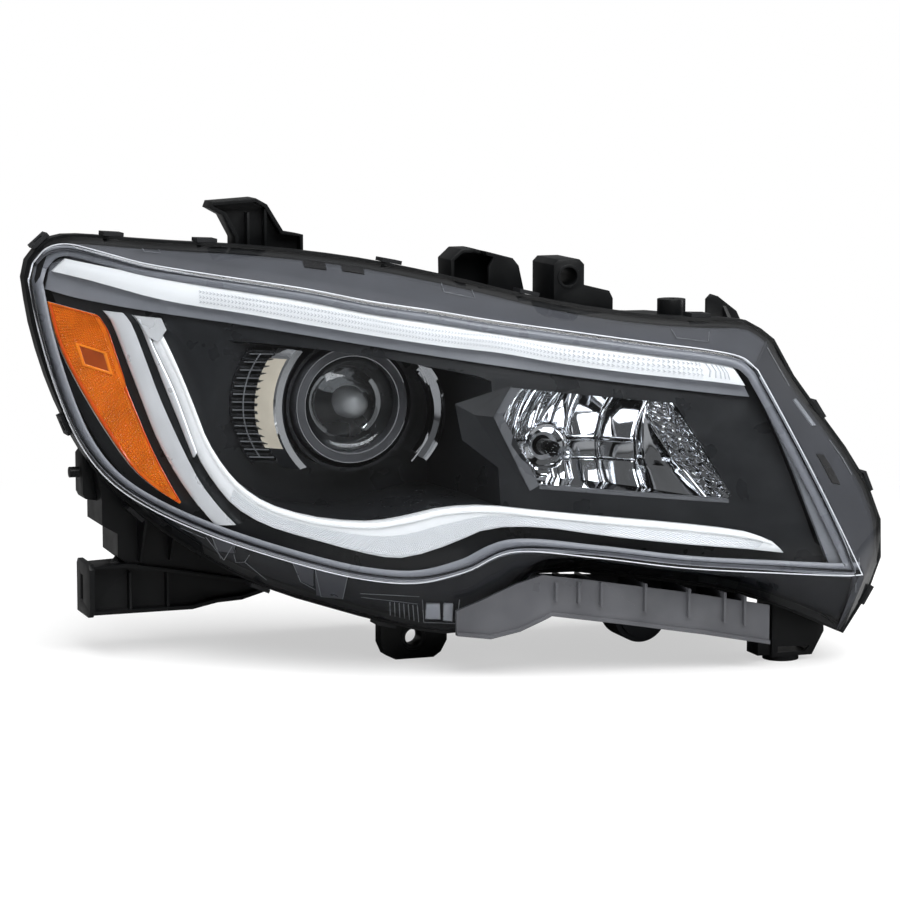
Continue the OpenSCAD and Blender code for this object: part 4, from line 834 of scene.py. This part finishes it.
class LAMP_OT_side_reflector(bpy.types.Operator):
    """Builds the border, the prism field and the reflex insert of the side reflector"""
    bl_idname = "lamp.side_reflector"
    bl_label = "Side reflector"

    def execute(self, context):
        colours, sizes, _ = settings()
        dress("side_reflector", acrylic_amber(colours.amber), angle=40)
        dress("side_reflector_tray", surface("abs_moulded_white", "#c8c9c6", 0.4), angle=40)
        new_piece("prism_field", self.prisms(sizes.prism / MM),
                  acrylic_amber(colours.amber, "acrylic_amber_prisms", 0.2, 0.1))
        new_piece("amber_border", self.border(),
                  acrylic_amber(colours.amber_edge, "acrylic_amber_polished", 0.05, 0.05),
                  smooth=50)
        self.reflex(acrylic_amber(colours.reflex, "acrylic_amber_reflex", 0.2, 0.1),
                    acrylic_amber("#dd7a1c", "acrylic_amber_bright", 0.1, 0.05))
        return {"FINISHED"}

    def prisms(self, pitch):
        """Rows of small pyramids over the face, inside the border."""
        parts = []
        rows = int(run_of(AMBER_OUTER) / pitch)
        for i in range(1, rows - 1):
            t0, t1 = i / rows, (i + 1) / rows
            outer, inner = along(AMBER_OUTER, t0), along(AMBER_INNER, t0)
            wide = math.hypot(math.dist(outer, inner), lens_y(*outer) - lens_y(*inner))
            edge = PRISM_EDGE / wide
            count = int((1 - 2 * edge) * wide / pitch)
            for j in range(count):
                s0, s1 = [edge + (1 - 2 * edge) * k / count for k in (j, j + 1)]
                middle = (t0 + t1) / 2, (s0 + s1) / 2
                if self.in_reflex(amber_face(*middle, 0)):
                    continue
                corners = [amber_face(t, s, 0.2)
                           for t, s in ((t0, s0), (t0, s1), (t1, s1), (t1, s0))]
                parts.append((corners + [amber_face(*middle, -PRISM_HEIGHT)],
                              [(k, (k + 1) % 4, 4) for k in range(4)] + [(3, 2, 1, 0)]))
        return merged(parts)

    def in_reflex(self, point):
        """Whether a point lies over the reflex insert."""
        p = (point - LAMP) / MM
        return all((xb - xa) * (p.z - za) - (zb - za) * (p.x - xa)
                   <= REFLEX_REACH * math.hypot(xb - xa, zb - za)
                   for (xa, za), (xb, zb) in zip(REFLEX, REFLEX[1:] + REFLEX[:1]))

    def border(self):
        """Raised polished rim round the reflector."""
        loop = [(0.0, s) for s in even(0, 1, 12)[:-1]]
        loop += [(t, 1.0) for t in even(0, 1, 60)[:-1]]
        loop += [(1.0, s) for s in even(1, 0, 3)[:-1]]
        loop += [(t, 0.0) for t in even(1, 0, 60)[:-1]]
        rows = []
        for t, s in loop:
            q = (amber_face(min(0.985, max(0.006, t)), s, 0) - LAMP) / MM
            way = Vector((-158 - q.x, 0, (q.z - 10) * -0.25)).normalized()
            rows.append([under(q.x + way.x * step, q.z + way.z * step, AMBER_DEPTH - lift)
                         for step, lift in BORDER_PROFILE])
        return grid(rows + rows[:1])

    def reflex(self, material, bright):
        """Flat diamond insert with a raised frame."""
        centre = [sum(p[k] for p in REFLEX) / 4 for k in (0, 1)]

        def ring(share, lift):
            return [under(*mix(centre, p, share), AMBER_DEPTH - lift) for p in REFLEX]
        rows = [ring(1.2, -0.4), ring(1.18, 1.7), ring(0.98, 1.8), ring(0.9, 0.7)]
        sides = [(k, (k + 1) % 4, 4 + (k + 1) % 4, 4 + k) for k in range(4)]
        new_piece("reflex_frame", (sum(rows, []), [tuple(4 * i + n for n in f)
                                                   for i in range(3) for f in sides]),
                  bright)
        new_piece("reflex_insert", (rows[3] + ring(0.9, -0.4),
                                    [(3, 2, 1, 0), (4, 5, 6, 7)] + sides),
                  material)


# Arcs beside the projector: centre and radius, and how far their plane leans back
ARC_X, ARC_RADIUS, ARC_LEAN = 10, 66, math.tan(math.radians(8))
# Section of the band beside the outboard arc, and the corners of one of its slots
ARC_BAND = ((2.2, -0.9), (5.6, 0.6), (10, 4.2), (14, 8.6), (17.5, 12.4))
SLOT, SLOT_HALF = ((14.2, 9.1), (17.6, 12.2)), 1.1
# Bright line inboard: centre and half sizes of its ellipse, and how far forward it lies
LINE_X, LINE_Z, LINE_WIDE, LINE_HIGH, LINE_Y, LINE_SIZE = -8, -2, 65, 60, -20.6, 1.1
# Bright crescent behind the lens, as (radius, y, share of the swell in its middle)
CRESCENT = ((21.4, 21.2, 1 / 3), (23.4, 20.6, -1 / 3), (24.4, 20.9, 1))
CRESCENT_SWELL = 0.5
# Fine rings on the holder of the lens, as (radius, y), and their size
HOLDER_RINGS, RING_HIGH, RING_WIDE = ((43.8, -0.6), (37.2, -0.5)), 0.6, 0.4
# Profiles of the turned parts, as (radius, y)
SEAT = [(23.5, 21.0), (35.5, 21.0), (35.5, 23.0), (23.5, 26.0)]
GLARE_CAP = [(0.2, 26), (4, 26.8), (7, 29), (8.6, 33), (9, 44), (8, 44), (7.4, 33), (0.2, 28)]
# Fins outboard of the arc: how many, height of the first, pitch, and gap to the arc
FINS, FIN_TOP, FIN_PITCH, FIN_GAP = 14, 39.6, 6.04, 14


class LAMP_OT_projector(bpy.types.Operator):
    """Finishes the projector, its arcs and the bright edges of its fins"""
    bl_idname = "lamp.projector"
    bl_label = "Projector"

    def execute(self, context):
        colours, sizes, _ = settings()
        mirror = aluminium_vapour_coated(colours.mirror)
        dress("projector_lens", glass_moulded(ior=1.52), angle=50)
        dress("projector_body projector_arc_outboard projector_arc_inboard", mirror, angle=40)
        dress("low_beam_bulb high_beam_bulb side_marker_bulb",
              glass_moulded("glass_drawn_clear", ior=1.47), angle=50)
        dress("lens_holder", surface("polyamide_holder", "#3c3d40", 0.36, depth=0.003,
                                     tone=0.1), angle=40)
        new_piece("lens_seat", turned(SEAT, (0, 0), 72),
                  surface("aluminium_black_anodised", "#1b1c1e", 0.3, metallic=0.6),
                  "optics_carrier", smooth=40)
        new_piece("lens_seat_edges", self.seat_edges(), mirror, "optics_carrier",
                  smooth=60)
        new_piece("glare_cap", turned(GLARE_CAP, (10, -3), 40),
                  surface("steel_satin", "#dcdddf", 0.35, metallic=0.2), "optics_carrier",
                  smooth=40)
        self.arc_band(epdm_moulded(colours.rubber))
        new_piece("fin_edges", self.fin_edges(sizes.fin_edge),
                  steel_zinc_plated(colours.steel))
        line = [at(LINE_X + LINE_WIDE * math.cos(a), LINE_Y, LINE_Z + LINE_HIGH * math.sin(a))
                for a in even(math.radians(-42), math.radians(38), 24)]
        new_piece("inboard_line", bar(line, LINE_SIZE * MM), mirror)
        return {"FINISHED"}

    def seat_edges(self):
        """Two bright crescents and two fine rings behind the projector lens."""
        parts = []
        for first, last in ((-55, 40), (130, 235)):
            def point(u, corner):
                r, y, share = corner
                a = math.radians(first + (last - first) * u)
                r += share * CRESCENT_SWELL * math.sin(math.pi * u)
                return at(r * math.cos(a), y, r * math.sin(a))
            parts.append(sheet(even(0, 1, 24), CRESCENT, point))
        for r, y in HOLDER_RINGS:
            rim = [(r, y + RING_HIGH), (r, y), (r + RING_WIDE, y),
                   (r + RING_WIDE, y + RING_HIGH)]
            parts.append(turned(rim, (0, 0), 72))
        return merged(parts)

    def arc_band(self, rubber):
        """Satin band beside the outboard arc, with a slotted edge."""
        rows, slots = [], []
        for k in range(49):
            a = math.radians(146 + 62 * k / 48)
            x, z = ARC_RADIUS * math.cos(a), ARC_RADIUS * math.sin(a)
            y = -10 - x * ARC_LEAN
            x += ARC_X
            rows.append([at(x - dx, y + dy, z) for dx, dy in ARC_BAND])
            if k % 4 == 1:
                slots.append(grid([[at(x - dx, y + dy, z + step) for dx, dy in SLOT]
                                   for step in (-SLOT_HALF, SLOT_HALF)]))
        # The band's cream tint is a painted warm reflection on the satin metal
        satin = surface("aluminium_band_painted_reflection", "#d2c9b8", 0.2, depth=0.002, tone=0.1,
                        metallic=0.45)
        new_piece("arc_band", grid(rows), satin, smooth=60)
        new_piece("arc_slots", merged(slots), rubber)

    def fin_edges(self, size):
        """Bright edge on each fin, and the upright wire that ties them."""
        parts, upright = [], []
        for k in range(FINS):
            z = FIN_TOP - FIN_PITCH * k
            reach = math.sqrt(ARC_RADIUS ** 2 - z ** 2)
            x, y = ARC_X - reach - FIN_GAP, 6 + reach * ARC_LEAN
            parts.append(bar([at(x - 0.5, y - 0.8, z), at(x - 9, y + 3.6, z),
                              at(x - 17.5, y + 8.0, z)], size, Vector((0, 0, 1))))
            upright.append(at(x - 10.5, y + 3.4, z))
        return merged(parts + [bar(upright, size * 0.9)])


# The high beam in millimetres of the lamp's axes: axis, focal length, and (x, z) outlines
BEAM_X, BEAM_Z, BEAM_FOCUS, BEAM_VERTEX = 152.0, -37.0, 28.0, -10.0
BEAM_TOP = [(101, -16), (118, 17), (222, 7), (236, -18), (267, -69)]
BEAM_FOOT = [(101, -16), (123, -69), (258, -76), (267, -69)]
# Columns between the flutes, how they bow, the middle band, and the hole round the bulb
BEAM_COLUMNS = [104, 122, 140, 155, 168.5, 189.5, 212.5]
BEAM_BOW, BEAM_BAND, BULB_HOLE = 0.003, (-46.0, -32.0), 16
# Flutes: gap to the bowl, step of every other one, bow across one, step of the middle band
FLUTE_GAP, FLUTE_STEP, FLUTE_BOW, BAND_STEP = 1.2, 0.8, 2.2, 1.5
# Side: gap to the bowl, height of its wave, step below the middle band, room to the lens
SIDE_GAP, SIDE_WAVE, SIDE_STEP, SIDE_CLEAR = 1.5, 1.5, 2.5, 25
# Pillows: pitch across and upright, gap to the bowl, height, room to the lens
PILLOW_X, PILLOW_Z, PILLOW_GAP, PILLOW_HEIGHT, PILLOW_CLEAR = 5.2, 4.6, 2, 1.5, 26.5
# Where the pillows start and end, as x for each height below the axis of the projector
PILLOW_START = [(4, 217), (33, 230), (61, 244.5), (76, 252)]
PILLOW_END = [(-4, 227), (18, 237), (70, 268)]
# The chevron beside the window, the window's own edge, and its foot
CHEVRON = [(99, 18), (85, -3), (108, -58)]
WINDOW_EDGE = [(106, 17), (92, -3), (115, -54)]
WINDOW_FOOT = ((115, -54), (254, -67))
# Folds of the bezel beside the chevron, as (x, z, depth)
FOLD = [(59.5, 5.9, 16.4), (100.3, 19.8, 16.2), (84.5, -3.2, 13.4), (107.5, -58.5, 16.3),
        (113.3, -60.4, 16.3), (62.6, -20.5, 16.5), (72.0, -2.0, 15.6)]
# Profiles turned round the axis of the high beam, as (radius, y)
COLLAR = [(15, -16), (17.5, -16), (17.5, -11), (15, -11)]
WELL = [(8.0, -6.5), (15.2, -12), (15.2, -11), (8.0, -5.5)]
BULB_TIP = [(0.1, -63.4), (2.6, -62.6), (4.6, -60.4), (5.4, -57.6), (5.6, -54), (5.2, -54),
            (0.1, -58)]


def bowl(x, z):
    """How far back the paraboloid of the high beam is at x, z."""
    return BEAM_VERTEX - ((x - BEAM_X) ** 2 + (z - BEAM_Z) ** 2) / (4 * BEAM_FOCUS)


class LAMP_OT_high_beam(bpy.types.Operator):
    """Builds the fluted and pillowed facets of the high beam reflector"""
    bl_idname = "lamp.high_beam"
    bl_label = "High beam"

    def execute(self, context):
        colours, _, _ = settings()
        mirror = aluminium_vapour_coated(colours.mirror)
        dress("high_beam_reflector", mirror, angle=30)
        patches = [self.flute(k, low, high) for k in range(len(BEAM_COLUMNS) - 1)
                   for low, high in ((BEAM_BAND[1], 99), BEAM_BAND, (-99, BEAM_BAND[0]))]
        patches += [self.side(), self.pillows()]
        new_piece("beam_facets", merged(patches), mirror, "optics_carrier", smooth=32,
                  thick=0.6)
        axis = BEAM_X, BEAM_Z
        new_piece("bulb_collar", turned(COLLAR, axis), mirror, "optics_carrier", smooth=40)
        new_piece("bulb_tip", turned(BULB_TIP, axis, 32), steel_zinc_plated(colours.steel),
                  "high_bulb", smooth=60)
        new_piece("bulb_well", turned(WELL, axis), aluminium_satin_coated(),
                  "optics_carrier", smooth=40)
        self.window_frame()
        new_piece("bezel_fold", ([under(*point) for point in FOLD],
                                 [(0, 1, 6), (1, 2, 6), (2, 3, 6), (3, 5, 6), (5, 0, 6)]),
                  abs_satin_black(colours.bezel), thick=0.4)
        return {"FINISHED"}

    def window_frame(self):
        """Chevron bevel and ledge round the opening of the high beam."""
        chevron = grid([[under(x, z, 16.2) for x, z in CHEVRON],
                        [under(x, z, 16.6) for x, z in WINDOW_EDGE],
                        [under(x, z, 24) + Vector((0.6 * MM, 0, 0)) for x, z in WINDOW_EDGE]])
        ledge = sheet(((16.4, -2.6), (16.6, 0), (23, 0.4)), even(0, 1, 12),
                      lambda row, t: (under(*mix(*WINDOW_FOOT, t), row[0])
                                      + Vector((0, 0, row[1] * MM))))
        # The frame is of the black bezel; its grey is painted light on facets that face the
        # light
        grey = surface("abs_black_painted_light", "#505154", 0.3, grain=0.5, depth=0.0004, tone=0.06)
        new_piece("window_frame", merged([chevron, ledge]), grey,
                  thick=0.4)

    def flute(self, k, low, high):
        """One flute between two columns and two heights, with the bulb's opening."""
        first, last = BEAM_COLUMNS[k:k + 2]

        def point(v, u):
            x = first + (last - first) * u
            top, foot = min(high, between(x, BEAM_TOP)), max(low, between(x, BEAM_FOOT))
            z = foot + (top - foot) * v
            if x > BEAM_COLUMNS[0] + 1:
                x += BEAM_BOW * (z - BEAM_Z) ** 2
            y = bowl(x, z) - FLUTE_GAP - FLUTE_STEP * (k % 2)
            y -= FLUTE_BOW * (1 - (2 * u - 1) ** 2) * (1 if k > 2 else -0.8)
            return at(x, y - (BAND_STEP if (low, high) == BEAM_BAND else 0), z)
        vertices, faces = sheet(even(0, 1, 12), even(0, 1, 9), point)
        axis = at(BEAM_X, 0, BEAM_Z)
        return vertices, [
            f for f in faces
            if (sum((vertices[i] for i in f), Vector()) / 4 - axis).xz.length > BULB_HOLE * MM]

    def side(self):
        """Smooth part between the last flute and the pillows."""
        def point(height, u):
            start = BEAM_COLUMNS[-1] + BEAM_BOW * (height - BEAM_Z) ** 2
            x = start + (between(-height, PILLOW_START) - start) * u
            z = min(max(height, between(x, BEAM_FOOT)), between(x, BEAM_TOP))
            y = bowl(x, z) - SIDE_GAP - SIDE_WAVE * math.sin(u * math.pi * 2)
            y -= SIDE_STEP if height < BEAM_BAND[0] else 0
            return at(x, max(y, lens_y(x, z) + SIDE_CLEAR), z)
        return sheet(even(-76, 6, 24), even(0, 1, 12), point)

    def pillows(self):
        """Pillow optics beside the slanting edge of the window."""
        def point(z, u):
            start, stop = between(-z, PILLOW_START), between(-z, PILLOW_END)
            x = start + (stop - start) * u
            a = math.sin((x - start) * math.pi / PILLOW_X + 0.6 * math.sin(z * 0.8))
            b = math.sin(z * math.pi / PILLOW_Z + 0.7 * math.sin(x * 0.7))
            y = max(bowl(x, z) - PILLOW_GAP, lens_y(x, z) + PILLOW_CLEAR)
            return at(x, y - PILLOW_HEIGHT * abs(a) * abs(b), z)
        return sheet(even(-74, 4, 96), even(0, 1, 30), point)


# Soft lights: name, place, size in metres, and power in watts; all aim at the lamp
LIGHTS = [
    ("overhead", (0.0, -0.25, 2.2), (3.4, 1.7), 66),
    ("front_high", (0.3, -2.2, 2.4), (3.2, 1.6), 118),
    ("side_right", (2.6, -0.6, 1.2), (0.8, 1.6), 20),
]
LIGHT_AIM = Vector((0, 0, 0.18))
CAMERA_AIM = at(68.1, -29.9, -33.8)
FLOOR_RADII = (0.5, 1.5, 6.0, 60.0)


class LAMP_OT_stage(bpy.types.Operator):
    """Sets up the pale floor, the soft lights, the world and the camera"""
    bl_idname = "lamp.stage"
    bl_label = "Stage"

    def execute(self, context):
        _, _, stage = settings()
        scene = context.scene
        scene.view_settings.view_transform = "Standard"
        self.floor(scene, self.paper(stage.floor))
        self.world(scene)
        for name, place, size, power in LIGHTS:
            lamp = bpy.data.lights.new(name, "AREA")
            lamp.shape = "RECTANGLE"
            lamp.size, lamp.size_y = size
            lamp.energy = power
            item = bpy.data.objects.new(name, lamp)
            scene.collection.objects.link(item)
            item.location = place
            aim = LIGHT_AIM - Vector(place)
            item.rotation_euler = aim.to_track_quat("-Z", "Y").to_euler()
        camera = bpy.data.objects.new("camera", bpy.data.cameras.new("camera"))
        scene.collection.objects.link(camera)
        camera.data.sensor_width = 36
        camera.data.lens = stage.focal
        a, e = stage.azimuth, stage.elevation
        back = Vector((math.sin(a) * math.cos(e), -math.cos(a) * math.cos(e), math.sin(e)))
        camera.location = CAMERA_AIM + back * stage.distance
        camera.rotation_euler = back.to_track_quat("Z", "Y").to_euler()
        scene.camera = camera
        return {"FINISHED"}

    def paper(self, text):
        # Coated paper sweep: white to the eye of the camera, and it keeps the soft shadow
        material, tree = blank("paper_coated_white")
        coat = add(tree, "ShaderNodeBsdfDiffuse", {"Color": linear(text)})
        glow = add(tree, "ShaderNodeEmission", {"Color": linear("#ffffff"), "Strength": 1.0})
        path = add(tree, "ShaderNodeLightPath").outputs
        seen = add(tree, "ShaderNodeMath", {
            0: path["Is Camera Ray"], 1: path["Is Transmission Ray"]}, operation="MAXIMUM")
        place = add(tree, "ShaderNodeTexCoord").outputs["Object"]
        far = add(tree, "ShaderNodeVectorMath", {0: place}, operation="LENGTH")
        fade = add(tree, "ShaderNodeMapRange", {
            "Value": far.outputs["Value"], "From Min": 0.3, "From Max": 1.0,
            "To Min": 0.55, "To Max": 1.0}, interpolation_type="SMOOTHSTEP")
        share = add(tree, "ShaderNodeMath", {0: seen, 1: fade}, operation="MULTIPLY")
        sweep = add(tree, "ShaderNodeMixShader", {0: share, 1: coat, 2: glow})
        # The lamp mirrors the sweep as a studio with black flags beside it would show it
        dim = add(tree, "ShaderNodeMath", {0: path["Is Glossy Ray"], 1: 0.8},
                  operation="MULTIPLY")
        flag = add(tree, "ShaderNodeEmission", {"Color": linear("#101010")})
        both = add(tree, "ShaderNodeMixShader", {0: dim, 1: sweep, 2: flag})
        add(tree, "ShaderNodeOutputMaterial", {"Surface": both})
        return material

    def floor(self, scene, material):
        """Flat disc under the lamp, in rings that widen outwards."""
        steps = 64
        turns = [2 * math.pi * k / steps for k in range(steps)]
        vertices = [(0, 0, 0)] + [(r * math.cos(a), r * math.sin(a), 0)
                                  for r in FLOOR_RADII for a in turns]
        faces = []
        for k in range(steps):
            n = (k + 1) % steps
            faces.append((0, 1 + k, 1 + n))
            for a in range(1, 1 + steps * (len(FLOOR_RADII) - 1), steps):
                faces.append((a + k, a + steps + k, a + steps + n, a + n))
        mesh = bpy.data.meshes.new("floor")
        mesh.from_pydata(vertices, [], faces)
        mesh.materials.append(material)
        floor = bpy.data.objects.new("floor", mesh)
        scene.collection.objects.link(floor)
        floor.location.z = CAD_BOX[0][2]

    def world(self, scene):
        """White to the camera; for light and gloss it is dark at the front and pale above."""
        scene.world = bpy.data.worlds.new("studio")
        scene.world.use_nodes = True
        tree = scene.world.node_tree
        tree.nodes.clear()
        way = add(tree, "ShaderNodeTexCoord").outputs["Generated"]
        parts = add(tree, "ShaderNodeSeparateXYZ", {0: way}).outputs
        above = add(tree, "ShaderNodeMapRange", {
            "Value": parts["Z"], "From Min": 0.78, "From Max": 0.96})
        back = add(tree, "ShaderNodeMapRange", {
            "Value": parts["Y"], "From Min": -0.35, "From Max": 0.25, "To Max": 0.06})
        share = add(tree, "ShaderNodeMath", {0: above, 1: back}, operation="MAXIMUM")
        stops = (0.0, (0.12, 0.12, 0.12, 1)), (1.0, (0.7, 0.7, 0.7, 1))
        tone = add(tree, "ShaderNodeValToRGB", {"Fac": share}, stops)
        soft = add(tree, "ShaderNodeBackground", {"Color": tone, "Strength": 1.0})
        white = add(tree, "ShaderNodeBackground", {"Color": linear("#ffffff"),
                                                   "Strength": 1.0})
        seen = add(tree, "ShaderNodeLightPath").outputs["Is Camera Ray"]
        both = add(tree, "ShaderNodeMixShader", {0: seen, 1: soft, 2: white})
        add(tree, "ShaderNodeOutputWorld", {"Surface": both})


class LAMP_PT_panel(bpy.types.Panel):
    """Lists the operators that build the lamp"""
    bl_idname = "LAMP_PT_panel"
    bl_label = "Headlight"
    bl_space_type = "VIEW_3D"
    bl_region_type = "UI"
    bl_category = "Headlight"

    def draw(self, context):
        layout = self.layout
        for operator in OPERATORS:
            layout.operator(operator.bl_idname)
        for group in (context.scene.lamp_colours, context.scene.lamp_sizes,
                      context.scene.lamp_stage):
            for name in group.bl_rna.properties.keys():
                if name not in ("rna_type", "name"):
                    layout.prop(group, name)


OPERATORS = (
    LAMP_OT_mouldings, LAMP_OT_outer_lens, LAMP_OT_wall_liners, LAMP_OT_light_guides,
    LAMP_OT_side_reflector, LAMP_OT_projector, LAMP_OT_high_beam, LAMP_OT_stage,
)
GROUPS = {"lamp_colours": LampColours, "lamp_sizes": LampSizes, "lamp_stage": LampStage}


def register():
    for item in (*GROUPS.values(), *OPERATORS, LAMP_PT_panel):
        bpy.utils.register_class(item)
    for name, group in GROUPS.items():
        setattr(bpy.types.Scene, name, bpy.props.PointerProperty(type=group))


def unregister():
    for name in GROUPS:
        delattr(bpy.types.Scene, name)
    for item in reversed((*GROUPS.values(), *OPERATORS, LAMP_PT_panel)):
        bpy.utils.unregister_class(item)


def main():
    register()
    for operator in OPERATORS:
        group, name = operator.bl_idname.split(".")
        getattr(getattr(bpy.ops, group), name)()


if __name__ == "__main__":
    main()
